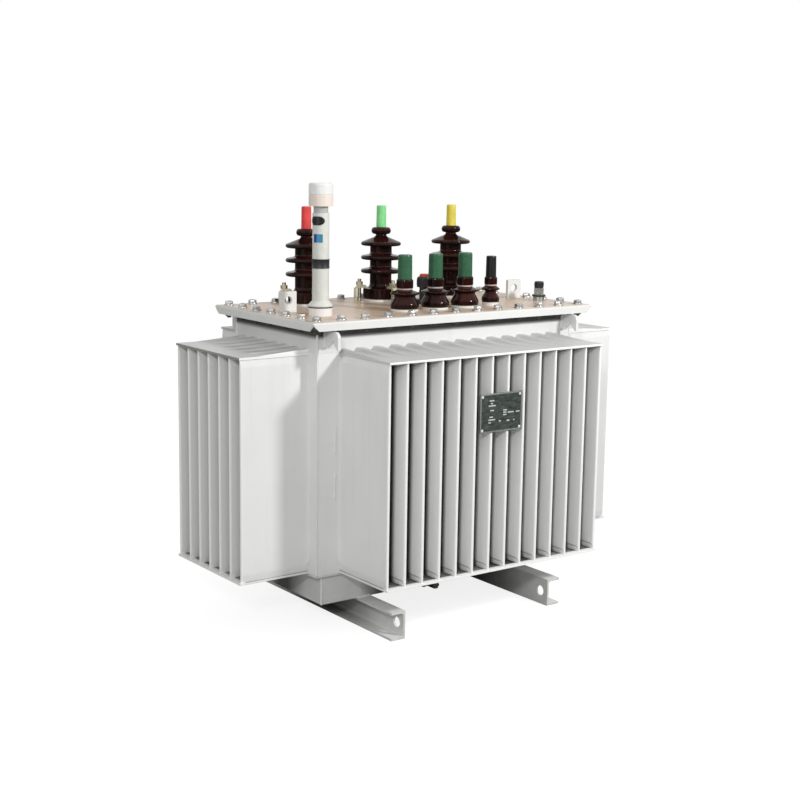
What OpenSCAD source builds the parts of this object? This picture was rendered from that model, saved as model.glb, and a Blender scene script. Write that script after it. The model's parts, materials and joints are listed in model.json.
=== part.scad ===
// Oil-immersed distribution transformer, hermetically sealed, with corrugated cooling walls.
// Millimetres. +Z is up, +X runs along the long side, the front faces -Y.
// The origin is on the ground under the middle of the tank.

/* [Skid rails] */
// Length of each channel rail, front to back
rail_length = 642; // [520:1:720]
// Height of the channel section
rail_height = 70; // [55:1:100]
// Width of the channel flanges
rail_flange_width = 40; // [30:1:55]
// Thickness of the channel web
rail_web = 5; // [4:0.5:8]
// Thickness of the channel flanges
rail_flange = 6; // [4:0.5:9]
// Radius of the fillets inside the channel
rail_fillet_r = 6; // [3:1:10]
// Clear distance between the two webs
rail_gap = 454; // [380:1:560]
// Diameter of the hauling hole near each rail end
rail_hole_d = 26; // [16:1:32]
// Distance from the rail end to the hole centre
rail_hole_inset = 28; // [22:1:45]

/* [Tank] */
// Length of the tank walls, left to right
tank_length = 790; // [740:1:860]
// Width of the tank walls, front to back
tank_width = 376; // [350:1:430]
// Thickness of the flat wall plates and of the upper band
wall_thickness = 4; // [3:0.5:6]
// Height of the base box under the corrugated walls
base_height = 78; // [50:1:110]
// How far the base box stands in from the end walls
base_end_inset = 23; // [8:1:40]
// How far the base box stands in from the long walls
base_side_inset = 13; // [8:1:30]
// Sheet thickness of the base box and its rim
base_sheet = 5; // [4:0.5:8]
// Height of the plain band above the corrugated walls
band_height = 61; // [50:1:80]

/* [Cooling fins] */
// Height of the corrugated walls, with their end plates
wall_height = 536; // [420:1:700]
// Distance from one fin to the next
fin_pitch = 50; // [42:1:60]
// Depth of the fins on the long sides
side_fin_depth = 196; // [120:1:240]
// Depth of the fins on the ends
end_fin_depth = 185; // [120:1:240]
// Thickness of a fin over its hollow middle
fin_thickness = 8; // [6:0.5:12]
// Thickness of the sheet that the fins are folded from
fin_sheet = 1.5; // [1:0.1:2]
// Radius of the bends where a fin leaves the wall
fin_bend_r = 8; // [4:1:12]
// Height of the pressed zone that closes a fin at the top and bottom
fin_pinch_height = 17; // [10:1:30]
// Plain strip left between a tank corner and the fins on the long sides
side_corner_strip = 60; // [50:1:80]
// Plain strip left between a tank corner and the fins on the ends
end_corner_strip = 30; // [20:1:45]
// Thickness of the plates over and under the fins
cover_thickness = 5.5; // [3:0.5:6]
// How far those plates reach past the fin edges
cover_lip = 3; // [2:0.5:8]
// Height of the pleats pressed in the top covers, at the wall
pleat_height = 9; // [5:1:16]

/* [Lid] */
// Lid overhang at the tank ends
lid_end_overhang = 38; // [34:1:60]
// Lid overhang along the tank sides
lid_side_overhang = 42; // [34:1:60]
// Thickness of the lid plate
lid_thickness = 6; // [5:0.5:9]
// Height of the folded skirt, from the top of the lid
skirt_height = 21; // [16:1:26]
// Sheet thickness of the skirt
skirt_thickness = 4; // [3:0.5:5]
// How far the skirt ends are cut back at their lower corners
skirt_mitre = 18; // [8:1:24]
// Bend radius along the lid edges
lid_edge_r = 5; // [3:0.5:6]
// Thickness of the tank flange under the lid
flange_thickness = 8; // [6:0.5:12]
// Thickness of the gasket between flange and lid
gasket_thickness = 4; // [3:0.5:6]

/* [Lifting] */
// How far a lifting hook stands out from the band
hook_reach = 57; // [50:1:75]
// Height of a lifting hook
hook_height = 41; // [36:1:44]
// Thickness of the hook plate
hook_thickness = 8; // [6:0.5:12]
// Distance from the tank corner to the hook plate
hook_corner_inset = 20; // [12:1:30]
// Width of the hook plate between the band and the sling notch
hook_root = 10; // [8:1:16]
// Width of the hook's tip, outside the sling notch
hook_tip = 6; // [5:0.5:9]
// Depth of the sling notch
hook_notch_depth = 20; // [13:1:22]
// Width of a lid lug
lug_width = 45; // [40:1:60]
// Height of a lid lug
lug_height = 50; // [44:1:64]
// Radius of the upper corners of a lid lug
lug_corner_r = 3; // [2:0.5:12]
// Thickness of a lid lug
lug_thickness = 8; // [6:0.5:12]
// Diameter of the eye in a lid lug
lug_eye_d = 20; // [14:0.5:24]
// Distance from the lid end to the middle of a lug
lug_end_inset = 74; // [64:1:100]

/* [High voltage bushings] */
// Distance between neighbouring high voltage bushings
hv_spacing = 232; // [200:1:260]
// Distance from the back edge of the lid to their row
hv_edge_inset = 112; // [100:1:130]
// Height of the porcelain above its seat
hv_height = 185; // [175:1:210]
// Diameter of the porcelain sheds
hv_shed_d = 105; // [94:1:116]
// Thickness of a shed at its rim
hv_rim = 11; // [8:0.5:12]
// Diameter of the porcelain trunk
hv_trunk_d = 57; // [50:1:58]
// Diameter of the flange at the foot
hv_foot_d = 92; // [84:1:104]
// Diameter of the spigot that passes down through the lid
hv_spigot_d = 46; // [40:1:56]
// Diameter of the porcelain head under the sleeve
hv_head_d = 51; // [44:1:58]
// Diameter of the neck under the head
hv_neck_d = 28; // [22:1:33]
// Height of the coloured sleeve over the terminal
hv_sleeve_height = 56; // [40:1:70]
// Diameter of the coloured sleeve
hv_sleeve_d = 26; // [20:1:29]

/* [Low voltage bushings] */
// Distance between neighbouring low voltage bushings
lv_spacing = 95; // [84:1:110]
// Distance of the middle low voltage bushing to the right of the lid's middle
lv_offset = 2; // [0:1:10]
// Distance from the front edge of the lid to their row
lv_edge_inset = 113; // [100:1:130]
// Height of a phase porcelain above its seat
lv_height = 70; // [60:1:80]
// Diameter of a phase porcelain at its foot
lv_foot_d = 71; // [62:1:78]
// Diameter of a phase porcelain at its waist
lv_waist_d = 53; // [48:1:58]
// Diameter of the shed over the waist of a phase porcelain
lv_shed_d = 72; // [62:1:78]
// Diameter of the head of a phase porcelain
lv_head_d = 42; // [36:1:46]
// Diameter of the spigot under a phase porcelain
lv_spigot_d = 39; // [30:1:48]
// Height of a phase sleeve
lv_sleeve_height = 61; // [45:1:75]
// Diameter of a phase sleeve
lv_sleeve_d = 36; // [28:1:39]
// Distance from the last phase bushing to the neutral
neutral_gap = 85; // [76:1:96]
// Height of the neutral porcelain above its seat
neutral_height = 62; // [52:1:74]
// Diameter of the neutral porcelain at its foot
neutral_foot_d = 46; // [40:1:50]
// Diameter of the neutral porcelain at its waist
neutral_waist_d = 29; // [26:1:34]
// Diameter of the shed over the waist of the neutral porcelain
neutral_shed_d = 47; // [40:1:50]
// Diameter of the head of the neutral porcelain
neutral_head_d = 33; // [28:1:36]
// Diameter of the spigot under the neutral porcelain
neutral_spigot_d = 28; // [20:1:34]
// Height of the neutral sleeve
neutral_sleeve_height = 54; // [40:1:70]
// Diameter of the neutral sleeve
neutral_sleeve_d = 27; // [20:1:28]

/* [Lid fittings] */
// Height of the raised seats that the bushings stand on
seat_height = 8; // [5:0.5:12]
// Diameter of the oil level tube
gauge_d = 40; // [34:1:46]
// Height of the oil level tube, with its foot
gauge_tube_height = 243; // [180:1:300]
// Diameter of the foot of the oil level tube
gauge_foot_d = 57; // [50:1:62]
// Height of the foot of the oil level tube
gauge_foot_height = 22; // [14:1:28]
// Diameter of the flange of the tube on its foot
gauge_flange_d = 60; // [54:1:70]
// Height of the collar between foot and tube
gauge_collar_height = 14; // [10:1:22]
// Diameter of the cap on the oil level tube
gauge_cap_d = 58; // [52:1:66]
// Height of the cap on the oil level tube
gauge_cap_height = 54; // [36:1:70]
// Diameter of the neck under the cap
gauge_neck_d = 35; // [28:1:40]
// Height of the neck under the cap
gauge_neck_height = 16; // [8:1:22]
// Distance from the lid end to the oil level tube
gauge_end_inset = 101; // [90:1:112]
// Distance from the lid side to the oil level tube
gauge_side_inset = 126; // [105:1:145]
// Diameter of the tap changer head
tap_d = 39; // [34:1:44]
// Diameter of the stem under the tap changer head
tap_stem_d = 26; // [20:1:32]
// Height of the tap changer head above its stem
tap_head_height = 27; // [20:1:32]
// Diameter of the flange under the tap changer head
tap_flange_d = 47; // [44:1:54]
// Height of the flange under the tap changer head
tap_flange_height = 12; // [6:1:18]
// Height of the tap changer, with its knob
tap_height = 77; // [66:1:90]
// Height of the knob on the tap changer
tap_knob_height = 7; // [5:0.5:12]
// Diameter of the knob on the tap changer
tap_knob_d = 26; // [20:1:28]
// Distance of the tap changer to the right of the middle
tap_offset = 56; // [40:1:70]
// Diameter of the thermometer pocket at its foot
pocket_d = 30; // [26:1:40]
// Height of the foot of the thermometer pocket
pocket_foot_height = 12; // [6:1:16]
// Diameter of the flange on that foot
pocket_flange_d = 35; // [31:1:44]
// Width of the hexagon over the flange, over its corners
pocket_hex_d = 27; // [24:1:30]
// Height of the thermometer pocket, with its cap
pocket_height = 52; // [46:1:70]
// Diameter of the cap on the pocket
pocket_cap_d = 24; // [18:1:26]
// Height of the cap on the pocket
pocket_cap_height = 18; // [14:1:22]
// Distance from the lid end to the thermometer pocket
pocket_end_inset = 61; // [52:1:80]
// Distance from the lid side to the thermometer pocket
pocket_side_inset = 140; // [120:1:160]

/* [Nameplate and drain] */
// Width of the nameplate
nameplate_width = 129; // [110:1:145]
// Height of the nameplate
nameplate_height = 94; // [70:1:110]
// Thickness of the nameplate
nameplate_thickness = 2.5; // [1.5:0.5:3]
// Diameter of the drain boss
drain_d = 34; // [26:1:40]
// Length of the drain boss
drain_boss_length = 20; // [14:1:28]
// Width of the hexagon plug in the boss, over its corners
drain_plug_d = 20; // [16:1:25]
// Length of the boss with its plug
drain_length = 68; // [40:1:90]
// Distance of the drain to the left of the tank's middle
drain_offset = 75; // [40:1:110]

/* [Hidden] */
$fn = 96;

paint = [0.80, 0.81, 0.80];
porcelain = [0.20, 0.09, 0.07];

// How far a cutting shape runs past what it cuts
overrun = 2;
// Number of straight steps along a small bend and along a rounded fin edge
bend_steps = 3;
nose_steps = 6;

// Heights of the joints between the stacked pieces
rail_top = rail_height;
wall_bottom = rail_top + base_height;
wall_top = wall_bottom + wall_height;
band_top = wall_top + band_height;
flange_top = band_top + flange_thickness;
lid_bottom = flange_top + gasket_thickness;
lid_top = lid_bottom + lid_thickness;
skirt_bottom = lid_top - skirt_height;
seat_top = lid_top + seat_height;
// The neutral stands on a seat that is thicker than the others
neutral_rise = 3.5;
neutral_seat_top = seat_top + neutral_rise;

// Outlines in plan
tank_size = [tank_length, tank_width];
base_size = tank_size - 2*[base_end_inset, base_side_inset];
base_inner_size = base_size - 2*base_sheet*[1, 1];
lid_size = tank_size + 2*[lid_end_overhang, lid_side_overhang];
inner_size = tank_size - 2*wall_thickness*[1, 1];

// The flange stays clear of the folded skirt
skirt_gap = 7;
flange_size = lid_size - 2*(skirt_thickness + skirt_gap)*[1, 1];
gasket_size = flange_size - 2*skirt_gap*[1, 1];

// Fin rows
side_fins = floor((tank_length - 2*side_corner_strip - fin_thickness)/fin_pitch) + 1;
end_fins = floor((tank_width - 2*end_corner_strip - fin_thickness)/fin_pitch) + 1;
fin_bottom = wall_bottom + cover_thickness;
fin_height = wall_height - 2*cover_thickness;

// Width of a pleat's flat crest at the wall, as a share of the pleat
pleat_crest_share = 0.4;
// Sling notch in a hook: its width, and where its apex lies across that width
hook_notch_width = hook_reach - hook_root - hook_tip;
hook_apex_share = 0.624;
// How far the top of a hook stays under the top of the band
hook_drop = 6;
// Height of a lug's eye as a share of the lug's height
lug_eye_share = 0.56;

// Bushing places on the lid
phases = [-1, 0, 1];
hv_y = lid_size.y/2 - hv_edge_inset;
lv_y = lv_edge_inset - lid_size.y/2;
neutral_x = lv_offset + lv_spacing + neutral_gap;
// How far the rim of a seat stands in from the bushing foot on it
seat_inset = 2;
// Room around a spigot in its hole, and how far it reaches into the tank
spigot_clearance = 1.5;
spigot_drop = 30;
spigot_length = seat_top - band_top + spigot_drop;

// Heights along the high voltage porcelain, as shares of its height
hv_foot_share = 0.138;
hv_shed_shares = [0.3805, 0.5714, 0.768];
hv_shed_top_share = 0.0764;
hv_head_share = 0.9;
// Slopes of the upper faces of the sheds and of the bell over them, and the fillets at trunk and neck
hv_shed_slope = 11;
hv_bell_slope = 22;
hv_trunk_fillet_r = 6;
hv_neck_fillet_r = 8;
// Rounding of the edges of the foot and of the head, and its largest share of the height of the head
hv_foot_edge = 2.5;
hv_head_edge = 8;
hv_head_edge_share = 0.45;
// How much narrower the radius of a sleeve gets towards its top
sleeve_taper = 0.6;
// The fillet above its foot, as shares of the trunk radius and of the foot height
hv_fillet_shares = [[1.22, 1.04], [1.08, 1.18], [1, 1.45]];
// Outline of a low voltage porcelain at its foot, waist, shed and head, as shares of the radius there
// and of its height
lv_foot_shares = [[0.97, 0], [1, 0.03], [1, 0.13], [0.98, 0.16]];
lv_waist_shares = [[1.02, 0.36], [1, 0.38], [1, 0.4], [1.02, 0.42]];
lv_shed_shares = [[0.96, 0.475], [0.99, 0.485], [1, 0.505], [0.99, 0.525], [0.96, 0.54]];
lv_head_shares = [[0.95, 0.615], [0.88, 0.64], [0.88, 0.68], [1, 0.705], [1, 0.94], [0.97, 0.98], [0.92, 1]];

// Clamps that hold the feet of the high voltage bushings down
clamp_count = 3;
clamp_turn = -90;
clamp_stud_d = 10;
clamp_width = 14;
clamp_claw = 7;
clamp_bite = 10;
clamp_tail = 14;
clamp_slant = 9;
clamp_nut_d = 18;
clamp_nut_height = 9;
clamp_stud_tip = 7;
clamp_gap = 0.3;

// Lid fittings
gauge_place = [gauge_end_inset - lid_size.x/2, gauge_side_inset - lid_size.y/2, lid_top];
gauge_flange_height = 5;
gauge_cap_edge = 4;
gauge_seam = 1.5;
tap_place = [tap_offset, 0, lid_top];
tap_head_edge = 5;
tap_knob_edge = 3;
pocket_place = [lid_size.x/2 - pocket_end_inset, pocket_side_inset - lid_size.y/2, lid_top];
pocket_cap_edge = 2.5;
pocket_flange_height = 4.5;

// Height of the middle of the nameplate as a share of the wall height
nameplate_share = 0.733;

// Points along an arc from one angle to another, in equal steps
function arc(centre, r, from, to, steps) = [
    for (i = [0 : steps])
        let (a = from + (to - from)*i/steps)
            centre + r*[cos(a), sin(a)]
];

// A flat frame of a given height between two outlines
module frame(outer, inner, height) {
    linear_extrude(height)
        difference() {
            square(outer, center = true);
            square(inner, center = true);
        }
}

// A plate seen face on, standing on y = 0, with its two upper corners rounded
module rounded_top(width, height, r) {
    translate([-width/2, 0])
        square([width, height - r]);
    translate([r - width/2, 0])
        square([width - 2*r, height]);
    for (side = [-1, 1])
        translate([side*(width/2 - r), height - r])
            circle(r);
}

// Skid rails

// Channel section with its web at x = 0 and its flanges towards -X
module channel() {
    fillet_x = -rail_web - rail_fillet_r;
    inner_top = rail_height - rail_flange;
    rotate([90, 0, 0])
        linear_extrude(rail_length, center = true)
            polygon(concat(
                [
                    [0, 0], [0, rail_height],
                    [-rail_flange_width, rail_height], [-rail_flange_width, inner_top]
                ],
                arc([fillet_x, inner_top - rail_fillet_r], rail_fillet_r, 90, 0, bend_steps),
                arc([fillet_x, rail_flange + rail_fillet_r], rail_fillet_r, 0, -90, bend_steps),
                [[-rail_flange_width, rail_flange], [-rail_flange_width, 0]]
            ));
}

module rail() {
    hole_y = rail_length/2 - rail_hole_inset;
    difference() {
        channel();
        for (side = [-1, 1])
            translate([-rail_web - overrun, side*hole_y, rail_height/2])
                rotate([0, 90, 0])
                    cylinder(d = rail_hole_d, h = rail_web + 2*overrun);
    }
}

module left_rail() {
    color(paint)
        translate([-rail_gap/2, 0, 0])
            rail();
}

module right_rail() {
    color(paint)
        mirror([1, 0, 0])
            translate([-rail_gap/2, 0, 0])
                rail();
}

// Tank

// Open box with a floor and an outward rim that carries the corrugated walls
module tank_base() {
    color(paint)
        translate([0, 0, rail_top]) {
            linear_extrude(base_sheet)
                square(base_size, center = true);
            frame(base_size, base_inner_size, base_height);
            translate([0, 0, base_height - base_sheet])
                frame(tank_size, base_inner_size, base_sheet);
        }
}

// Outline of one fin seen end on: full width in the middle, pressed flat at both ends.
// It widens past the fin's flanks above the pressed zone, to let the bends at the wall run out.
module fin_outline() {
    full = fin_thickness/2;
    flat = fin_sheet;
    wide = full + fin_bend_r;
    run_out = fin_pinch_height + 2*fin_bend_r;
    polygon([
        [-flat, 0], [flat, 0], [full, fin_pinch_height], [wide, run_out], [wide, fin_height - run_out],
        [full, fin_height - fin_pinch_height], [flat, fin_height], [-flat, fin_height],
        [-full, fin_height - fin_pinch_height], [-wide, fin_height - run_out], [-wide, run_out],
        [-full, fin_pinch_height]
    ]);
}

// Plan of one fin on the -Y side of a wall face at y = 0: bends at the wall, a rounded outer edge
module fin_plan(depth) {
    half = fin_thickness/2;
    wide = half + fin_bend_r;
    root = wall_thickness/2;
    polygon(concat(
        [[-wide, root]],
        arc([-wide, -fin_bend_r], fin_bend_r, 90, 0, bend_steps),
        arc([0, half - depth], half, 180, 360, nose_steps),
        arc([wide, -fin_bend_r], fin_bend_r, 180, 90, bend_steps),
        [[wide, root]]
    ));
}

module fin(depth) {
    intersection() {
        linear_extrude(fin_height)
            fin_plan(depth);
        translate([0, wall_thickness, 0])
            rotate([90, 0, 0])
                linear_extrude(depth + wall_thickness + overrun)
                    fin_outline();
    }
}

// Corrugated wall on the -Y side: a flat sheet with a row of hollow fins folded out of it
module corrugated_wall(length, face, count, depth) {
    hollow = fin_thickness - 2*fin_sheet;
    hollow_depth = depth - fin_thickness/2 + wall_thickness + overrun;
    hollow_height = fin_height - 2*fin_pinch_height;
    hollow_start = [-hollow/2, fin_thickness/2 - depth, fin_pinch_height];
    first = -(count - 1)/2*fin_pitch;
    difference() {
        union() {
            translate([-length/2, face, wall_bottom])
                cube([length, wall_thickness, wall_height]);
            for (i = [0 : count - 1])
                translate([first + i*fin_pitch, face, fin_bottom])
                    fin(depth);
        }
        for (i = [0 : count - 1])
            translate([first + i*fin_pitch, face, fin_bottom] + hollow_start)
                cube([hollow, hollow_depth, hollow_height]);
    }
}

module side_wall() {
    corrugated_wall(tank_length, -tank_width/2, side_fins, side_fin_depth);
}

module end_wall() {
    rotate([0, 0, -90])
        corrugated_wall(inner_size.y, -tank_length/2, end_fins, end_fin_depth);
}

module front_wall() {
    color(paint)
        side_wall();
}

module back_wall() {
    color(paint)
        mirror([0, 1, 0])
            side_wall();
}

module left_wall() {
    color(paint)
        end_wall();
}

module right_wall() {
    color(paint)
        mirror([1, 0, 0])
            end_wall();
}

// One pressed pleat on a top cover: a ridge that is highest at the wall and runs out at the edge
module pleat(left, right, reach) {
    sunk = cover_thickness/2;
    crest = pleat_crest_share;
    polyhedron(
        points = [
            [-left, 0, -sunk], [right, 0, -sunk], [0, -reach, -sunk],
            [-left*crest, 0, pleat_height], [right*crest, 0, pleat_height]
        ],
        faces = [[0, 2, 1], [0, 1, 4, 3], [1, 2, 4], [4, 2, 3], [2, 0, 3]]
    );
}

// Plate over or under a row of fins on the -Y side, from the wall to just past the fin edges
module fin_plate(face, count, depth) {
    length = (count - 1)*fin_pitch + fin_thickness;
    translate([-length/2, face - depth - cover_lip, 0])
        cube([length, depth + cover_lip, cover_thickness]);
}

module top_cover(face, count, depth) {
    translate([0, 0, wall_top - cover_thickness])
        fin_plate(face, count, depth);
    half = (fin_pitch - cover_thickness)/2;
    end_half = (fin_thickness - cover_thickness)/2;
    for (i = [0 : count - 1])
        translate([(i - (count - 1)/2)*fin_pitch, face, wall_top])
            pleat(i == 0 ? end_half : half, i == count - 1 ? end_half : half, depth);
}

// Copies a piece of the front side to the back, and a piece of the left end to the right
module front_and_back() {
    children();
    mirror([0, 1, 0])
        children();
}

module left_and_right() {
    children();
    mirror([1, 0, 0])
        children();
}

module top_covers() {
    color(paint) {
        front_and_back()
            top_cover(-tank_width/2, side_fins, side_fin_depth);
        left_and_right()
            rotate([0, 0, -90])
                top_cover(-tank_length/2, end_fins, end_fin_depth);
    }
}

module bottom_plates() {
    color(paint)
        translate([0, 0, wall_bottom]) {
            front_and_back()
                fin_plate(-tank_width/2, side_fins, side_fin_depth);
            left_and_right()
                rotate([0, 0, -90])
                    fin_plate(-tank_length/2, end_fins, end_fin_depth);
        }
}

module upper_band() {
    color(paint)
        translate([0, 0, wall_top])
            frame(tank_size, inner_size, band_height);
}

module tank_flange() {
    color(paint)
        translate([0, 0, band_top])
            frame(flange_size, inner_size, flange_thickness);
}

module lid_gasket() {
    color([0.12, 0.12, 0.12])
        translate([0, 0, flange_top])
            frame(gasket_size, inner_size, gasket_thickness);
}

// Lid

// Plate and skirt as one block, with bent upper edges
module lid_block() {
    intersection() {
        rotate([90, 0, 0])
            linear_extrude(lid_size.y + 2*overrun, center = true)
                rounded_top(lid_size.x, skirt_height, lid_edge_r);
        rotate([90, 0, 90])
            linear_extrude(lid_size.x + 2*overrun, center = true)
                rounded_top(lid_size.y, skirt_height, lid_edge_r);
    }
}

// Hollow under the lid plate, inside the skirt
module lid_hollow() {
    inside = lid_size - 2*skirt_thickness*[1, 1];
    translate([0, 0, -overrun])
        linear_extrude(skirt_height - lid_thickness + overrun)
            square(inside, center = true);
}

// Wedge that cuts back both ends of the skirt along a front edge of a given length
module skirt_notches(length, edge) {
    notch_top = skirt_height - lid_edge_r;
    end = -length/2;
    left_and_right()
        translate([0, edge + skirt_thickness, 0])
            rotate([90, 0, 0])
                linear_extrude(skirt_thickness + overrun)
                    polygon([
                        [end + skirt_mitre, -overrun], [end + skirt_mitre, 0], [end, notch_top],
                        [end - overrun, notch_top], [end - overrun, -overrun]
                    ]);
}

module spigot_hole(place, spigot_d) {
    translate([place.x, place.y, lid_bottom - overrun])
        cylinder(d = spigot_d + 2*spigot_clearance, h = lid_thickness + 2*overrun);
}

module lid() {
    color(paint)
        difference() {
            translate([0, 0, skirt_bottom])
                difference() {
                    lid_block();
                    lid_hollow();
                    front_and_back()
                        skirt_notches(lid_size.x, -lid_size.y/2);
                    left_and_right()
                        rotate([0, 0, -90])
                            skirt_notches(lid_size.y, -lid_size.x/2);
                }
            for (i = phases) {
                spigot_hole([i*hv_spacing, hv_y], hv_spigot_d);
                spigot_hole([lv_offset + i*lv_spacing, lv_y], lv_spigot_d);
            }
            spigot_hole([neutral_x, lv_y], neutral_spigot_d);
        }
}

// Lifting

// Hook plate in profile: x runs out from the band, y up. The sling notch is steeper at the tip.
module hook_outline() {
    round_r = hook_height/3;
    notch_r = hook_thickness/3;
    apex_x = hook_root + hook_notch_width*hook_apex_share;
    difference() {
        union() {
            square([hook_reach, hook_height - round_r]);
            square([hook_reach - round_r, hook_height]);
            translate([hook_reach - round_r, hook_height - round_r])
                circle(round_r);
        }
        polygon([
            [hook_root, 0], [hook_root, -overrun], [hook_reach - hook_tip, -overrun],
            [hook_reach - hook_tip, 0], [apex_x, hook_notch_depth]
        ]);
        translate([apex_x, hook_notch_depth - notch_r])
            circle(notch_r);
    }
}

// Front left hook: a plate square to the long wall, just inside the tank corner
module hook() {
    translate([-tank_length/2 + hook_corner_inset, -tank_width/2, band_top - hook_drop - hook_height])
        rotate([90, 0, -90])
            mirror([0, 0, 1])
                linear_extrude(hook_thickness)
                    hook_outline();
}

module front_left_hook() {
    color(paint)
        hook();
}

module front_right_hook() {
    color(paint)
        mirror([1, 0, 0])
            hook();
}

module back_left_hook() {
    color(paint)
        mirror([0, 1, 0])
            hook();
}

module back_right_hook() {
    color(paint)
        mirror([1, 0, 0])
            mirror([0, 1, 0])
                hook();
}

module lug() {
    rotate([90, 0, 0])
        linear_extrude(lug_thickness, center = true)
            difference() {
                rounded_top(lug_width, lug_height, lug_corner_r);
                translate([0, lug_height*lug_eye_share])
                    circle(d = lug_eye_d);
            }
}

module left_lid_lug() {
    color(paint)
        translate([lug_end_inset - lid_size.x/2, 0, lid_top])
            lug();
}

module right_lid_lug() {
    color(paint)
        translate([lid_size.x/2 - lug_end_inset, 0, lid_top])
            lug();
}

// Bushings

// Raised ring on the lid under a bushing foot, bored for the spigot
module seat(place, foot_d, spigot_d, height = seat_height) {
    translate([place.x, place.y, lid_top])
        difference() {
            cylinder(d = foot_d - 2*seat_inset, h = height);
            translate([0, 0, -overrun])
                cylinder(d = spigot_d + 2*spigot_clearance, h = height + 2*overrun);
        }
}

module bushing_seats() {
    color(paint) {
        for (i = phases) {
            seat([i*hv_spacing, hv_y], hv_foot_d, hv_spigot_d);
            seat([lv_offset + i*lv_spacing, lv_y], lv_foot_d, lv_spigot_d);
        }
        seat([neutral_x, lv_y], neutral_foot_d, neutral_spigot_d, seat_height + neutral_rise);
    }
}

// Outline of one shed going up: undercut face, round rim, sloping upper face and the fillet over it
function shed_points(tip_z, slope, stem_r, stem_z, fillet_r) = concat(
    [[hv_trunk_d/2, tip_z]],
    arc([hv_shed_d/2 - hv_rim/2, tip_z], hv_rim/2, -90, 90 - slope, nose_steps),
    arc([stem_r + fillet_r, stem_z], fillet_r, -90 - slope, -180, nose_steps)
);

// Half section of the high voltage porcelain, standing on y = 0
module hv_section() {
    foot_r = hv_foot_d/2;
    trunk_r = hv_trunk_d/2;
    neck_r = hv_neck_d/2;
    head_r = hv_head_d/2;
    foot_h = hv_height*hv_foot_share;
    shed_z = hv_height*hv_shed_shares;
    shed_h = hv_height*hv_shed_top_share;
    head_z = hv_height*hv_head_share;
    head_edge = min(hv_head_edge, (hv_height - head_z)*hv_head_edge_share);
    polygon(concat(
        [[0, -spigot_length], [hv_spigot_d/2, -spigot_length], [hv_spigot_d/2, 0]],
        arc([foot_r - hv_foot_edge, hv_foot_edge], hv_foot_edge, -90, 0, bend_steps),
        arc([foot_r - hv_foot_edge, foot_h - hv_foot_edge], hv_foot_edge, 0, 90, bend_steps),
        [for (s = hv_fillet_shares) [trunk_r*s.x, foot_h*s.y]],
        shed_points(shed_z[0], hv_shed_slope, trunk_r, shed_z[0] + shed_h, hv_trunk_fillet_r),
        shed_points(shed_z[1], hv_shed_slope, trunk_r, shed_z[1] + shed_h, hv_trunk_fillet_r),
        shed_points(shed_z[2], hv_bell_slope, neck_r, head_z, hv_neck_fillet_r),
        arc([head_r - head_edge, head_z + head_edge], head_edge, -90, 0, bend_steps),
        arc([head_r - head_edge, hv_height - head_edge], head_edge, 0, 90, bend_steps),
        [[0, hv_height]]
    ));
}

module hv_bushing(phase) {
    color(porcelain)
        translate([phase*hv_spacing, hv_y, seat_top])
            rotate_extrude()
                hv_section();
}

module hv_bushing_a() {
    hv_bushing(-1);
}

module hv_bushing_b() {
    hv_bushing(0);
}

module hv_bushing_c() {
    hv_bushing(1);
}

// Slightly tapered sleeve with a rounded top edge, standing on y = 0
module sleeve(d, height) {
    edge = d/10;
    top_r = d/2 - sleeve_taper;
    rotate_extrude()
        polygon(concat(
            [[0, 0], [d/2, 0]],
            arc([top_r - edge, height - edge], edge, 0, 90, bend_steps),
            [[0, height]]
        ));
}

module hv_sleeve(phase, tint) {
    color(tint)
        translate([phase*hv_spacing, hv_y, seat_top + hv_height])
            sleeve(hv_sleeve_d, hv_sleeve_height);
}

module hv_sleeve_a() {
    hv_sleeve(-1, [0.82, 0.20, 0.12]);
}

module hv_sleeve_b() {
    hv_sleeve(0, [0.20, 0.78, 0.36]);
}

module hv_sleeve_c() {
    hv_sleeve(1, [0.93, 0.80, 0.10]);
}

// Clamp on the foot of a high voltage bushing: a claw with its heel on the lid, under the nut of a stud
module clamp() {
    claw_z = seat_height + hv_height*hv_foot_share + clamp_gap;
    claw_top = claw_z + clamp_claw;
    claw_start = hv_foot_d/2 - clamp_bite;
    stud_x = hv_foot_d/2 + clamp_stud_d;
    heel_x = stud_x + clamp_tail;
    translate([0, 0, lid_top]) {
        translate([stud_x, 0, 0])
            cylinder(d = clamp_stud_d, h = claw_top + clamp_nut_height + clamp_stud_tip);
        translate([stud_x, 0, claw_top])
            cylinder(d = clamp_nut_d, h = clamp_nut_height, $fn = 6);
        rotate([90, 0, 0])
            linear_extrude(clamp_width, center = true)
                polygon([
                    [heel_x - clamp_claw, 0], [heel_x, 0], [heel_x, claw_top - clamp_slant],
                    [heel_x - clamp_slant, claw_top], [claw_start + clamp_claw/2, claw_top],
                    [claw_start, claw_top - clamp_claw/2], [claw_start, claw_z], [heel_x - clamp_claw, claw_z]
                ]);
    }
}

module hv_clamps() {
    color([0.72, 0.73, 0.74])
        for (i = phases)
            for (k = [0 : clamp_count - 1])
                translate([i*hv_spacing, hv_y, 0])
                    rotate([0, 0, clamp_turn + k*360/clamp_count])
                        clamp();
}

// Half section of a low voltage porcelain, standing on y = 0
module lv_section(height, foot_d, waist_d, shed_d, head_d, spigot_d) {
    polygon(concat(
        [[0, -spigot_length], [spigot_d/2, -spigot_length], [spigot_d/2, 0]],
        [for (s = lv_foot_shares) [s.x*foot_d/2, s.y*height]],
        [for (s = lv_waist_shares) [s.x*waist_d/2, s.y*height]],
        [for (s = lv_shed_shares) [s.x*shed_d/2, s.y*height]],
        [for (s = lv_head_shares) [s.x*head_d/2, s.y*height]],
        [[0, height]]
    ));
}

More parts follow.
